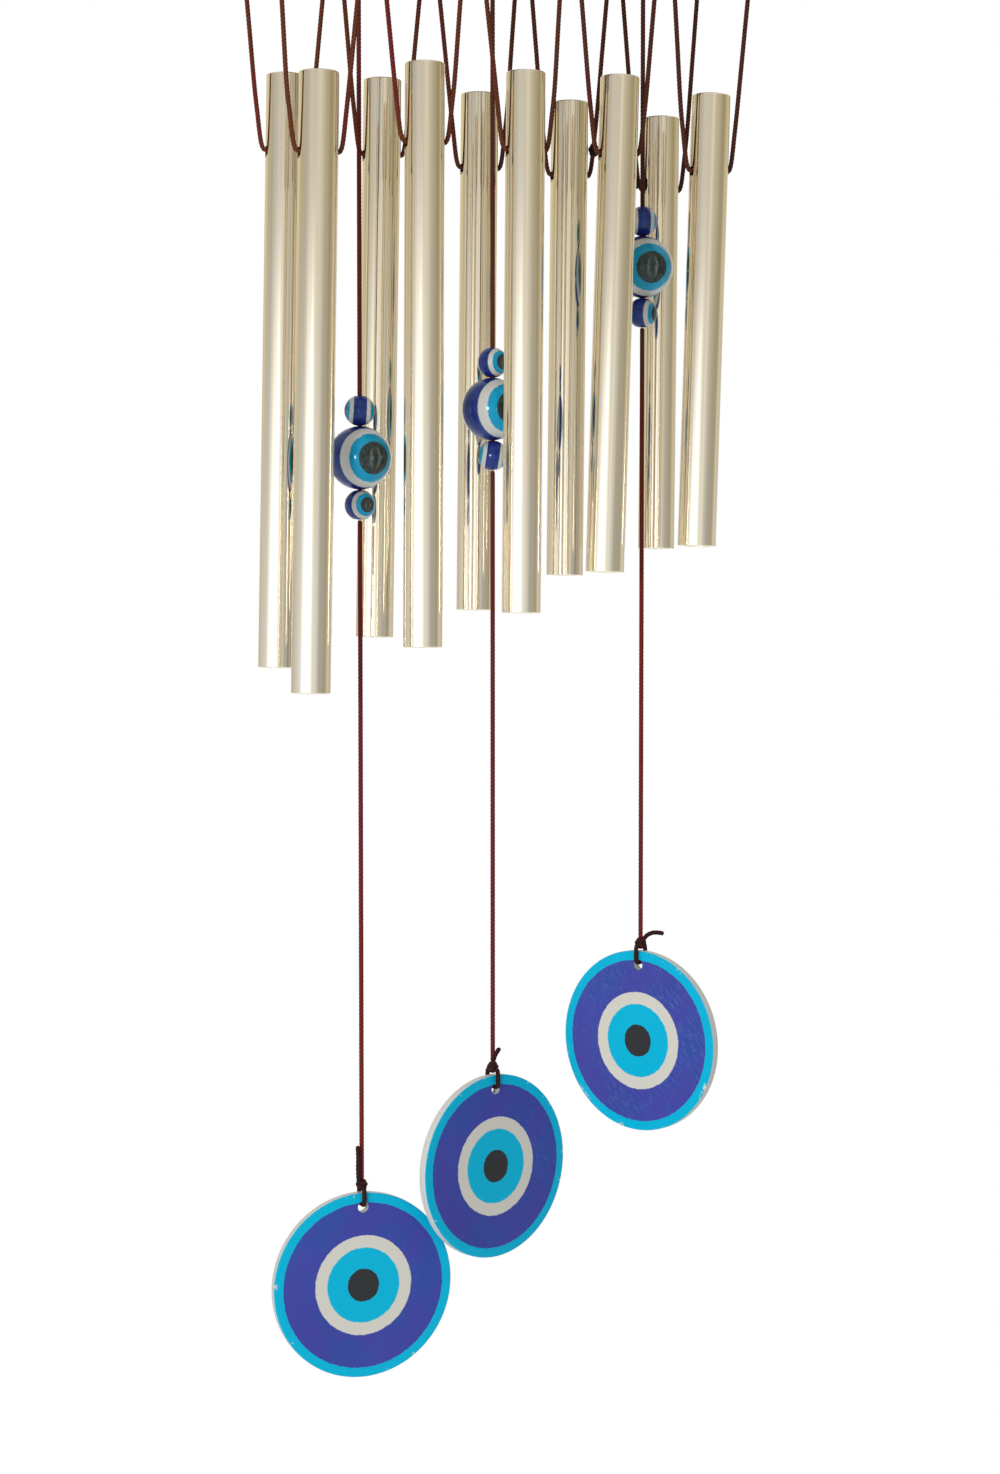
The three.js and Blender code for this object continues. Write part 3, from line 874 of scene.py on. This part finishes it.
class CHIME_OT_pendants(bpy.types.Operator):
    """Makes the three pendant cords, their knots over the board and the ties of the discs"""

    bl_idname = "chime.pendants"
    bl_label = "Pendant cords"

    def execute(self, context):
        settings = context.scene.chime_cords
        fibre = bpy.data.materials[CORD_FIBRE]
        board_top = node_box("board")[1][2]
        knot_size = KNOT_DIAMETER * MM
        stop_size = STOP_KNOT * MM
        for k in PENDANTS:
            body = f"pendant_{k}"
            top = joint_place(f"{body}_swing")
            head = (top[0], top[1], board_top + SEAT_GAP * MM + knot_size / 2)
            wound_knot(f"knot_{body}", head, knot_size, KNOT_TURNS, "carrier", fibre, f"pendant_knot_{k}")

            foot = joint_place(f"sail_{k}_swing")
            middle = foot + (0, 0, SEAT_GAP * MM + stop_size / 2)
            stop = wound_knot(f"knot_stop_{k}", middle, stop_size, STOP_TURNS, body, fibre)
            upper_end = node_box(f"pendant_cord_{k}_upper")[0][2] - STOP_REACH * MM
            self.straight(f"{k}_upper", top, upper_end, body, settings, fibre, [stop])
            tie = self.make_tie(k, settings, context.scene.chime_discs, bpy.data.materials[KNOT_FIBRE])
            lower_end = joint_place(f"disc_{k}_turn")[2] + TIE_ENTRY * MM
            self.straight(f"{k}_lower", foot, lower_end, f"sail_{k}", settings, fibre, tie)
        return {"FINISHED"}

    def straight(self, label, joint, end_height, body, settings, fibre, with_pieces):
        """A cord that hangs straight down from just under a joint."""
        start = joint - (0, 0, JOINT_GAP * MM)
        points = np.linspace(start, (start[0], start[1], end_height), STRAIGHT_POINTS)
        cord, route = swept_cord(f"cord_pendant_{label}", points, (0, 1, 0), settings, body, fibre,
                                 f"pendant_cord_{label}")

    def make_tie(self, k, settings, discs, soiled):
        """The loop through the disc's hole, the knot over the rim and the loose tail."""
        body = f"tie_{k}"
        normal, side = disc_axes(k)
        middle = joint_place(f"disc_{k}_turn")
        bearing = joint_place(f"disc_{k}_swing")
        radius = settings.diameter / 2
        reach = radius + SEAT_GAP * MM
        bend = reach * math.sqrt(0.5)
        edge = discs.thickness / 2
        knot_size = TIE_KNOT * MM
        knot_up = middle[2] - bearing[2]
        front = [
            (TIE_START[0] * MM, knot_up - TIE_START[1] * MM),
            (edge + radius, knot_up - knot_size / 4),
            (edge + reach, knot_up - knot_size / 2 - TIE_RIM_GAP * MM - reach),
            (edge + reach, reach),
            (edge + bend, reach - bend),
            (edge, 0),
        ]
        points = [bearing + out * normal + (0, 0, up) for out, up in front]
        points += [bearing]
        points += [bearing - out * normal + (0, 0, up) for out, up in front[::-1]]
        loop, _ = swept_cord(f"cord_tie_{k}", points, side, settings, body, soiled, f"disc_tie_{k}")
        mouth = radius + MOUTH_GAP * MM
        knot = wound_knot(f"knot_tie_{k}", middle, knot_size, KNOT_TURNS, body, soiled, mouth=mouth)
        ends = [
            middle + across * MM * side + ahead * MM * normal + (0, 0, up * MM)
            for across, ahead, up in TIE_TAILS[k - 1]
        ]
        start = middle + (ends[0] - middle) * TAIL_START
        tail, _ = swept_cord(f"cord_tail_{k}", [start, *ends], side + 2 * normal, settings, body, soiled)
        return [loop, knot, tail]


# Solid pieces

# Rows of points over a hole, as shares of its radius from its middle
HOLE_ROWS = 15
HOLE_SHARES = np.sin(np.linspace(-np.pi / 2, np.pi / 2, HOLE_ROWS))
# How many corner roundings, or hole radii, the rows of a wall keep away from its edges and holes
EDGE_CLEAR = 1.5
TUBE_HOLE_CLEAR = 2
DISC_HOLE_CLEAR = (1.6, 1.5)
TUBE_HALF_COLUMNS = 56
TUBE_LOWER_ROWS = 9
TUBE_UPPER_ROWS = 4
TUBE_HOLE_PUSH = 0.9
TUBE_END_BAND = 0.9 * MM
TUBE_LINES_SHIFT = 0.37


def tube_shape(length, above, settings):
    """A tube about its cross hole, in its own axes. Its wall is a rounded profile turned about Z in two
    halves; the seams between the halves lie along X and are parted into the two cross holes."""
    outer = settings.diameter / 2
    inner = outer - settings.wall
    edge = settings.edge
    hole = settings.hole / 2
    top = above
    foot = above - length
    clear = TUBE_HOLE_CLEAR * hole
    heights = np.concatenate([
        np.linspace(foot + EDGE_CLEAR * edge, -clear, TUBE_LOWER_ROWS),
        hole * HOLE_SHARES,
        np.linspace(clear, top - EDGE_CLEAR * edge, TUBE_UPPER_ROWS),
    ])
    wall_out = np.stack([np.full_like(heights, outer), heights], -1)
    wall_in = np.stack([np.full_like(heights, inner), heights], -1)[::-1]
    profile = np.vstack([
        round_corner((outer - edge, foot + edge), edge, -90, 0),
        wall_out,
        round_corner((outer - edge, top - edge), edge, 0, 90),
        round_corner((inner + edge / 2, top - edge / 2), edge / 2, 90, 180),
        wall_in,
        round_corner((inner + edge / 2, foot + edge / 2), edge / 2, 180, 270),
    ])
    out, up = profile[:, :1], profile[:, 1:]
    turn = np.linspace(0, np.pi, TUBE_HALF_COLUMNS + 1)[None, :]
    half = np.arcsin(np.sqrt(np.clip(hole**2 - up**2, 0, None)) / out)
    angle = parted(turn, half, TUBE_HOLE_PUSH)
    rows, columns = angle.shape
    out_rows = CORNER_STEPS + TUBE_LOWER_ROWS + np.arange(HOLE_ROWS)
    in_rows = 3 * CORNER_STEPS + len(heights) + TUBE_UPPER_ROWS + np.arange(HOLE_ROWS)[::-1]
    quads = np.vstack([grid_quads(rows, columns, wrap_rows=True), lip_quads(out_rows, in_rows, columns)])
    points = turned(out, angle, up).reshape(-1, 3)
    other = points * (1, -1, 1)
    return np.vstack([points, other]), np.vstack([quads, quads[:, ::-1] + len(points)])


def tube_ends(node):
    """The middles of a tube's top and foot, from the rings of points at its ends."""
    mesh = FRAME["nodes"][node].data
    flat = np.empty(len(mesh.vertices) * 3, np.float32)
    mesh.vertices.foreach_get("co", flat)
    points = np.unique(np.round(flat.reshape(-1, 3).astype(float), 6), axis=0)
    top = points[points[:, 2] > points[:, 2].max() - TUBE_END_BAND]
    foot = points[points[:, 2] < points[:, 2].min() + TUBE_END_BAND]
    return (top.min(0) + top.max(0)) / 2, (foot.min(0) + foot.max(0)) / 2


class CHIME_OT_tubes(bpy.types.Operator):
    """Makes the ten tubes, with rounded cut ends and drilled cross holes"""

    bl_idname = "chime.tubes"
    bl_label = "Tubes"

    def execute(self, context):
        settings = context.scene.chime_tubes
        metal = drawn_metal(settings)
        for number, name in enumerate(TUBE_NAMES):
            node = f"tube_{name}"
            hole = joint_place(f"tube_{name}_rock")
            top, foot = tube_ends(node)
            up = unit(top - foot)
            lean = math.atan2(up[0], up[2])
            low, high = node_box(node)
            length = (high[2] - low[2] - settings.diameter * abs(math.sin(lean))) / math.cos(lean)
            above = (high[2] - hole[2] - settings.diameter / 2 * abs(math.sin(lean))) / math.cos(lean)
            own, quads = tube_shape(length, above, settings)
            turn = np.array([
                [math.cos(lean), 0, math.sin(lean)],
                [0, 1, 0],
                [-math.sin(lean), 0, math.cos(lean)],
            ])
            shifted = own + (0, 0, number * TUBE_LINES_SHIFT)
            piece = new_piece(f"chime_{node}", own @ turn.T + hole, quads, shifted)
            dress(piece, node, "tube_metal", metal, node)
        return {"FINISHED"}


# Which way each bead's eye looks, in degrees from the front to +X
EYE_TURNS = {
    (1, "top"): 76, (1, "big"): 13, (1, "low"): 16,
    (2, "top"): 27, (2, "big"): 20, (2, "low"): -107,
    (3, "top"): 77, (3, "big"): -2, (3, "low"): 46,
}
EYE_DIPS = {(1, "top"): -3, (1, "big"): -2.5, (2, "low"): 8, (3, "big"): -6, (3, "low"): -4}
SMALL_EYE_SHARE = 0.96
BEAD_ROWS = 73
BEAD_COLUMNS = 96
BEAD_LIP = 0.35 * MM
BEAD_LIP_STEPS = 6


class CHIME_OT_beads(bpy.types.Operator):
    """Makes the nine evil-eye beads"""

    bl_idname = "chime.beads"
    bl_label = "Beads"

    def execute(self, context):
        settings = context.scene.chime_beads
        big_resin = eye_resin("eye_resin_big", settings, 1)
        small_resin = eye_resin("eye_resin_small", settings, SMALL_EYE_SHARE)
        for k in PENDANTS:
            for part in BEAD_PARTS:
                node = f"bead_{k}_{part}"
                diameter = settings.big if part == "big" else settings.small
                points, quads = self.bead_shape(diameter, settings.bore, part == "low")
                turn = math.radians(EYE_TURNS[k, part])
                dip = math.radians(EYE_DIPS.get((k, part), 0))
                level = math.cos(dip)
                back = np.array([-math.sin(turn) * level, math.cos(turn) * level, -math.sin(dip)])
                side = np.array([math.cos(turn), math.sin(turn), 0])
                own = unit(points) @ np.stack([side, back, np.cross(side, back)], -1)
                piece = new_piece(f"eye_{node}", points + joint_place(f"{node}_spin"), quads, own)
                dress(piece, node, "bead_blue", big_resin if part == "big" else small_resin, node)
        return {"FINISHED"}

    def bead_shape(self, diameter, bore, seat):
        """A ball turned about Z from its lower mouth to its upper one, with the edges rounded into the bore.
        A seat is a wider, straight mouth in its foot, where a stop knot sits."""
        radius = diameter / 2
        seat_half = (STOP_KNOT / 2 + SEAT_GAP) * MM
        start, lower = self.mouth(radius, seat_half if seat else bore / 2)
        stop, upper = self.mouth(radius, bore / 2)
        swing = np.linspace(start, np.pi - stop, BEAD_ROWS)
        ball = radius * np.stack([np.sin(swing), -np.cos(swing)], -1)
        profile = [lower[:-1], ball, (upper[::-1] * (1, -1))[1:]]
        if seat:
            shoulder = (STOP_KNOT + 2 * SEAT_GAP) * MM - math.sqrt(radius**2 - seat_half**2)
            profile.append([(bore / 2, shoulder), (seat_half, shoulder)])
        profile = np.vstack(profile)
        points = turned(profile[:, :1], full_turn(BEAD_COLUMNS), profile[:, 1:])
        quads = grid_quads(len(profile), BEAD_COLUMNS, wrap_rows=True, wrap_columns=True)
        return points.reshape(-1, 3), quads

    def mouth(self, radius, half):
        """The angle from the pole at which a hole of that half width starts, and its rounded edge, from the
        hole's wall to the ball."""
        inside = radius - BEAD_LIP
        start = math.asin((half + BEAD_LIP) / inside)
        middle = (half + BEAD_LIP, -inside * math.cos(start))
        return start, round_corner(middle, BEAD_LIP, -180, -90 + math.degrees(start), BEAD_LIP_STEPS)


DISC_INNER_ROWS = 8
DISC_OUTER_ROWS = 3
DISC_COLUMNS = 160
DISC_HOLE_PUSH = 0.5


class CHIME_OT_discs(bpy.types.Operator):
    """Makes the three printed discs, with their cord holes"""

    bl_idname = "chime.discs"
    bl_label = "Discs"

    def execute(self, context):
        settings = context.scene.chime_discs
        sheet = printed_sheet(settings)
        own, quads = self.disc_shape(settings)
        for k in PENDANTS:
            normal, side = disc_axes(k)
            low, high = node_box(f"disc_{k}")
            middle = (low + high) / 2
            turn = np.stack([side, -normal, (0, 0, 1)], -1)
            piece = new_piece(f"printed_disc_{k}", own @ turn.T + middle, quads, own)
            dress(piece, f"disc_{k}", "disc_sheet", sheet, f"disc_{k}")
        return {"FINISHED"}

    def disc_shape(self, settings):
        """A rounded sheet profile turned about the disc's axis, its seam at the top parted into the hole."""
        radius = settings.diameter / 2
        edge = settings.edge
        half = settings.thickness / 2
        hole = settings.hole / 2
        hole_out = radius - settings.hole_inset
        outs = np.concatenate([
            np.linspace(0, hole_out - DISC_HOLE_CLEAR[0] * hole, DISC_INNER_ROWS),
            hole_out + hole * HOLE_SHARES,
            np.linspace(hole_out + DISC_HOLE_CLEAR[1] * hole, radius - EDGE_CLEAR * edge, DISC_OUTER_ROWS),
        ])
        face = np.stack([outs, np.full_like(outs, -half)], -1)
        profile = np.vstack([
            face,
            round_corner((radius - edge, -half + edge), edge, -90, 0),
            round_corner((radius - edge, half - edge), edge, 0, 90),
            (face * (1, -1))[::-1],
        ])
        out, deep = profile[:, :1], profile[:, 1:]
        chord = np.sqrt(np.clip(hole**2 - (out - hole_out) ** 2, 0, None))
        lip = np.arcsin(chord / np.maximum(out, hole))
        turn = np.linspace(0, 2 * np.pi, DISC_COLUMNS + 1)[None, :]
        angle = parted(turn, lip, DISC_HOLE_PUSH)
        rows, columns = angle.shape
        front_rows = DISC_INNER_ROWS + np.arange(HOLE_ROWS)
        quads = np.vstack([grid_quads(rows, columns), lip_quads(front_rows, rows - 1 - front_rows, columns)])
        points = turned(out, angle, deep)[..., [1, 2, 0]]
        return points.reshape(-1, 3), quads


# Flat strip between the rounding of the board's edge and the triangles of its face
BOARD_FLAT = 0.4 * MM
BOARD_CORNER_POINTS = 13
BOARD_EDGE_STEPS = 6
COUNTERSINK = 0.25 * MM
BOARD_HOLE_COLUMNS = 24
# A face's triangle is in a hole where its middle is nearer to the hole's than this share of its mouth
IN_HOLE = 0.985
FILL_MARGIN = 1e-4
RING_COLUMNS = 120
WIRE_COLUMNS = 28


class CHIME_OT_carrier(bpy.types.Operator):
    """Makes the board and the hanging ring"""

    bl_idname = "chime.carrier"
    bl_label = "Board and ring"

    def execute(self, context):
        settings = context.scene.chime_carrier
        self.make_board(settings)
        self.make_ring(settings)
        return {"FINISHED"}

    def cord_holes(self, middle):
        """The places of the board's holes: two for a loop, one for a pendant cord, four for the hangers."""
        holes = [joint_place(f"pendant_{k}_swing")[:2] for k in PENDANTS]
        for side in (-1, 1):
            for name in TUBE_NAMES:
                holes.append(joint_place(f"loop_{name}_swing")[:2] + (side * LOOP_SPREAD / 2 * MM, 0))
            for end in (-1, 1):
                holes.append(middle[:2] + np.array([side * HANGER_HOLES[0], end * HANGER_HOLES[1]]) * MM)
        return np.array(holes)

    def make_board(self, settings):
        """A plank. Its rim is a rounded edge carried round a rounded rectangle, each hole is a straight wall
        with a small countersink, and the two faces are triangles between the rim and the holes."""
        low, high = node_box("board")
        middle, half = (low + high) / 2, (high - low) / 2
        edge, corner = settings.edge, settings.corner
        steps = np.linspace(0, 1, BOARD_CORNER_POINTS)
        angle = np.concatenate([(quarter + steps) * np.pi / 2 for quarter in range(4)])
        bend = np.repeat([(1, 1), (-1, 1), (-1, -1), (1, -1)], steps.size, axis=0) * (half[:2] - corner)
        brow = np.vstack([
            [(-edge - BOARD_FLAT, half[2])],
            round_corner((-edge, half[2] - edge), edge, 90, 0, BOARD_EDGE_STEPS),
        ])
        profile = np.vstack([brow, brow[::-1] * (1, -1)])
        rim = np.stack([self.ring_at(bend, corner + out, angle, up) for out, up in profile])
        points = [rim.reshape(-1, 3)]
        faces = [*grid_quads(len(profile), angle.size, wrap_columns=True)]

        round_hole = full_turn(BOARD_HOLE_COLUMNS)
        mouth = settings.hole / 2 + COUNTERSINK
        wall = [(mouth, half[2]), (settings.hole / 2, half[2] - COUNTERSINK)]
        wall = np.array([*wall, *[(out, -up) for out, up in wall[::-1]]])
        holes = self.cord_holes(middle) - middle[:2]
        loops = [rim[0, :, :2]]
        for place in holes:
            rings = np.stack([self.ring_at(place, out, round_hole, up) for out, up in wall])
            faces += [*(grid_quads(len(wall), round_hole.size, wrap_columns=True) + sum(map(len, points)))]
            points.append(rings.reshape(-1, 3))
            loops.append(rings[0, :, :2])

        flat, triangles = self.filled(loops, holes, mouth)
        for up in (half[2], -half[2]):
            faces += [*(triangles + sum(map(len, points)))]
            points.append(np.column_stack([flat, np.full(len(flat), up)]))
        piece = new_piece("plank", np.vstack(points) + middle, faces)
        dress(piece, "carrier", "board_wood", oiled_wood(settings), "board")

    def ring_at(self, place, out, angle, up):
        """Points round a place, or round a place for each point, at that distance and height."""
        flat = place + out * np.stack([np.cos(angle), np.sin(angle)], -1)
        return np.column_stack([flat, np.full(angle.size, up)])

    def filled(self, loops, holes, mouth):
        """Triangles that fill the first loop apart from the holes, worked out in millimetres."""
        corners, edges = [], []
        for loop in loops:
            number = np.arange(len(loop))
            edges += (np.stack([number, np.roll(number, -1)], -1) + len(corners)).tolist()
            corners += [Vector(corner) for corner in loop / MM]
        flat, _, triangles, *_ = delaunay_2d_cdt(corners, edges, [], 1, FILL_MARGIN)
        flat = np.array(flat) * MM
        triangles = np.array(triangles)
        centres = flat[triangles].mean(1)
        away = np.linalg.norm(centres[:, None] - holes[None], axis=-1)
        return flat, triangles[(away > IN_HOLE * mouth).all(1)]

    def make_ring(self, settings):
        """A ring of round wire: a circle carried round a circle."""
        low, high = node_box("hang_ring")
        wire = (high[1] - low[1]) / 2
        middle = (high[2] - low[2]) / 2 - wire
        turn = full_turn(RING_COLUMNS)[:, None]
        angle = full_turn(WIRE_COLUMNS)
        out = middle + wire * np.cos(angle)
        points = turned(out, turn, wire * np.sin(angle))[..., [0, 2, 1]]
        quads = grid_quads(RING_COLUMNS, WIRE_COLUMNS, wrap_rows=True, wrap_columns=True)
        piece = new_piece("hanging_ring", points, quads)
        dress(piece, "ring", "ring_steel", ring_steel(settings), "hang_ring")


# Stage

# Studio walls as metal sees them: degrees to the right of the camera, brightness and warmth. The lower walls
# are lit panels at eye height, and the upper ones are where the panels' light fades out
LOWER_WALLS = [
    (-180, 1.35, 0), (-163, 1.1, 0.2), (-150, 0.52, 0.6), (-128, 0.56, 0.9), (-100, 0.68, 0.2),
    (-84, 0.74, -0.2), (-70, 0.82, -0.4), (-60, 1.0, -0.5), (-50, 1.4, 0), (-42, 1.9, 0), (-12, 1.9, 0),
    (-4, 1.4, 0), (3, 0.98, 0), (12, 0.85, 0), (22, 0.84, 0), (30, 0.72, 0), (37, 0.6, 0), (45, 0.46, 0.2),
    (68, 0.44, 0.3), (86, 0.38, 1), (96, 0.44, 1), (108, 0.66, 0.8), (128, 0.62, 0.7), (150, 0.52, 0.6),
    (163, 1.1, 0.2), (180, 1.35, 0),
]
UPPER_WALLS = [
    (-180, 1.2, 0), (-163, 1.0, 0.6), (-150, 0.6, 1.2), (-128, 0.7, 1.7), (-105, 0.48, 1.3), (-88, 0.48, 1),
    (-70, 0.46, 0.6), (-60, 0.52, 0.35), (-47, 0.56, 0.3), (-35, 0.62, 0.3), (-11, 0.6, 0.5),
    (-4, 0.62, 0.5), (4, 0.67, 0.5), (15, 0.74, 0.6), (23, 0.67, 0.8), (33, 0.56, 1), (45, 0.49, 1),
    (60, 0.45, 1.1), (80, 0.33, 1.8), (92, 0.34, 2), (110, 0.5, 1.8), (135, 0.56, 1.6), (150, 0.56, 1.2),
    (163, 1.0, 0.6), (180, 1.2, 0),
]
WARM_RED = 0.08
WARM_BLUE = 0.2
# Sines of the heights at which the panels fade into the upper walls, and these into the ceiling
PANEL_TOP = (math.sin(math.radians(0.5)), math.sin(math.radians(9.4)))
WALL_TOP = (0.35, 0.8)
CEILING_GREY = (0.9, 0.9, 0.9)
FILL_GREY = (0.38, 0.38, 0.38)
WHITE = (1, 1, 1)

# Lamps: degrees to the right of the camera, height over the aim, distance, width, height and brightness
LAMP_AIM = Vector((0, 0, -0.32))
LAMPS = {
    "tall_softbox": (-30, 0.1, 1.5, 0.75, 1.5, 2.0),
    "camera_lamp": (-18, 0.06, 1.0, 0.14, 0.14, 45.0),
    "side_window": (110, 0.1, 1.6, 0.3, 1.2, 0.4),
    "back_softbox": (165, 0.1, 1.5, 0.75, 1.5, 1.3),
    "top_panel": (10, 1.6, 0.5, 1.4, 1.4, 0.9),
}
LAMP_IN_GLOSS = "camera_lamp"
SENSOR_WIDTH = 36
CLIP_END = 50
FLOOR_RADIUS = 1.4
FLOOR_RINGS = 13
FLOOR_COLUMNS = 64
# How far out the floor's shadow fades, and how white the floor is in its middle
SHADOW_REACH = (0.15, 0.5)
SHADOW_WHITE = 0.8


def wall_colour(level, warmth):
    """A wall of that brightness: grey at warmth 0, and cream over it."""
    return (level * (1 + WARM_RED * warmth), level, level * (1 - WARM_BLUE * warmth))


def point_at(thing, direction):
    """Turns a camera or a lamp to look along a direction."""
    thing.rotation_mode = "QUATERNION"
    thing.rotation_quaternion = direction.to_track_quat("-Z", "Y")


class CHIME_OT_stage(bpy.types.Operator):
    """Makes the camera, the floor, the lamps and the white surroundings"""

    bl_idname = "chime.stage"
    bl_label = "Stage"

    def execute(self, context):
        settings = context.scene.chime_stage
        context.scene.view_settings.view_transform = "Standard"
        self.make_camera(context, settings)
        self.make_floor(settings)
        self.make_lamps(settings)
        self.make_world(context, settings)
        return {"FINISHED"}

    def make_camera(self, context, settings):
        """The camera, turned to the right and then down."""
        data = bpy.data.cameras.new("photo_camera")
        data.lens = settings.lens
        data.sensor_width = SENSOR_WIDTH
        data.clip_end = CLIP_END
        camera = add_object("photo_camera", data)
        camera.location = settings.camera
        level = math.cos(settings.dip)
        right = math.sin(settings.turn) * level
        ahead = math.cos(settings.turn) * level
        point_at(camera, Vector((right, ahead, -math.sin(settings.dip))))
        context.scene.camera = camera

    def make_floor(self, settings):
        """A round floor far under the discs: rings of points about its middle. It is white for the camera,
        and keeps the shadow near its middle."""
        drop = CAD_BOX[0][2] - settings.floor_drop
        out = np.linspace(0, FLOOR_RADIUS, FLOOR_RINGS)[:, None]
        points = turned(out, full_turn(FLOOR_COLUMNS), drop)
        floor = new_piece("studio_floor", points, grid_quads(FLOOR_RINGS, FLOOR_COLUMNS, wrap_columns=True))
        material, graph = new_graph("pale_floor")
        place = graph.object_place()
        grain = graph.noise(place, scale=3, detail=2)
        tint = graph.blend(grain, settings.floor, dimmed(settings.floor, 0.97))
        matt = graph.node("ShaderNodeBsdfDiffuse", {}, {"Color": tint})
        white = graph.node("ShaderNodeEmission", {}, {"Color": (*WHITE, 1), "Strength": 1.0})
        away = graph.length(graph.stretched(place, (1, 1, 0)))
        seen, glossy, through = graph.rays()
        seen = seen.maths("MAXIMUM", glossy).maths("MAXIMUM", through)
        share = seen * away.between(*SHADOW_REACH, SHADOW_WHITE, 1.0)
        surface = graph.node("ShaderNodeMixShader", {}, {0: share, 1: matt, 2: white})
        graph.node("ShaderNodeOutputMaterial", {}, {"Surface": surface})
        floor.data.materials.append(material)

    def make_lamps(self, settings):
        """Flat lamps round the chime. Gloss shows only the one beside the camera."""
        for name, (azimuth, height, distance, width, tall, radiance) in LAMPS.items():
            data = bpy.data.lights.new(name, "AREA")
            data.shape = "RECTANGLE"
            data.size = width
            data.size_y = tall
            data.energy = radiance * math.pi * width * tall
            angle = math.radians(azimuth) - settings.turn
            lamp = add_object(name, data)
            away = Vector((math.sin(angle) * distance, -math.cos(angle) * distance, height))
            lamp.location = LAMP_AIM + away
            point_at(lamp, LAMP_AIM - lamp.location)
            lamp.visible_glossy = name == LAMP_IN_GLOSS

    def make_world(self, context, settings):
        """White for the camera, studio walls of several greys for metal, and one even light for the rest."""
        world = bpy.data.worlds.new("white_studio")
        world.use_nodes = True
        context.scene.world = world
        graph = Graph(world.node_tree)
        across, ahead, up = graph.split(graph.node("ShaderNodeTexCoord", output=0))
        side_x, side_y = math.cos(settings.turn), -math.sin(settings.turn)
        right = across * side_x + ahead * side_y
        front = across * side_y - ahead * side_x
        share = right.maths("ARCTAN2", front) / (2 * math.pi) + 0.5
        lower, upper = (
            graph.node("ShaderNodeValToRGB", {
                "stops": [((place + 180) / 360, wall_colour(*look)) for place, *look in walls],
            }, {"Fac": share})
            for walls in (LOWER_WALLS, UPPER_WALLS)
        )
        walls = graph.blend(up.between(*PANEL_TOP, 0, 1), lower, upper)
        walls = graph.blend(abs(up).between(*WALL_TOP, 0, 1), walls, CEILING_GREY)
        seen, glossy, through = graph.rays()
        colour = graph.blend(glossy, FILL_GREY, walls)
        colour = graph.blend(seen.maths("MAXIMUM", through), colour, WHITE)
        background = graph.node("ShaderNodeBackground", {}, {"Color": colour, "Strength": 1.0})
        graph.node("ShaderNodeOutputWorld", {}, {"Surface": background})


class CHIME_PT_panel(bpy.types.Panel):
    """Lists the chime's pieces and their settings"""

    bl_idname = "CHIME_PT_panel"
    bl_label = "Wind chime"
    bl_space_type = "VIEW_3D"
    bl_region_type = "UI"
    bl_category = "Chime"

    def draw(self, context):
        for operator in OPERATORS:
            self.layout.operator(operator.bl_idname)
        for name, group in SETTINGS.items():
            column = self.layout.column()
            for key in group.__annotations__:
                column.prop(getattr(context.scene, name), key)


OPERATORS = (
    CHIME_OT_stage, CHIME_OT_loops, CHIME_OT_hangers, CHIME_OT_pendants,
    CHIME_OT_tubes, CHIME_OT_beads, CHIME_OT_discs, CHIME_OT_carrier,
)


def register():
    """Registers the settings, operators and panel."""
    for group in (*SETTINGS.values(), *OPERATORS, CHIME_PT_panel):
        bpy.utils.register_class(group)
    for name, group in SETTINGS.items():
        setattr(bpy.types.Scene, name, PointerProperty(type=group))


def unregister():
    """Takes back what register did, in reverse."""
    for name in SETTINGS:
        delattr(bpy.types.Scene, name)
    for group in (CHIME_PT_panel, *reversed(OPERATORS), *reversed(list(SETTINGS.values()))):
        bpy.utils.unregister_class(group)


def main():
    """Registers the add-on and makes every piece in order."""
    register()
    for operator in OPERATORS:
        group, name = operator.bl_idname.split(".")
        getattr(getattr(bpy.ops, group), name)()


if __name__ == "__main__":
    main()
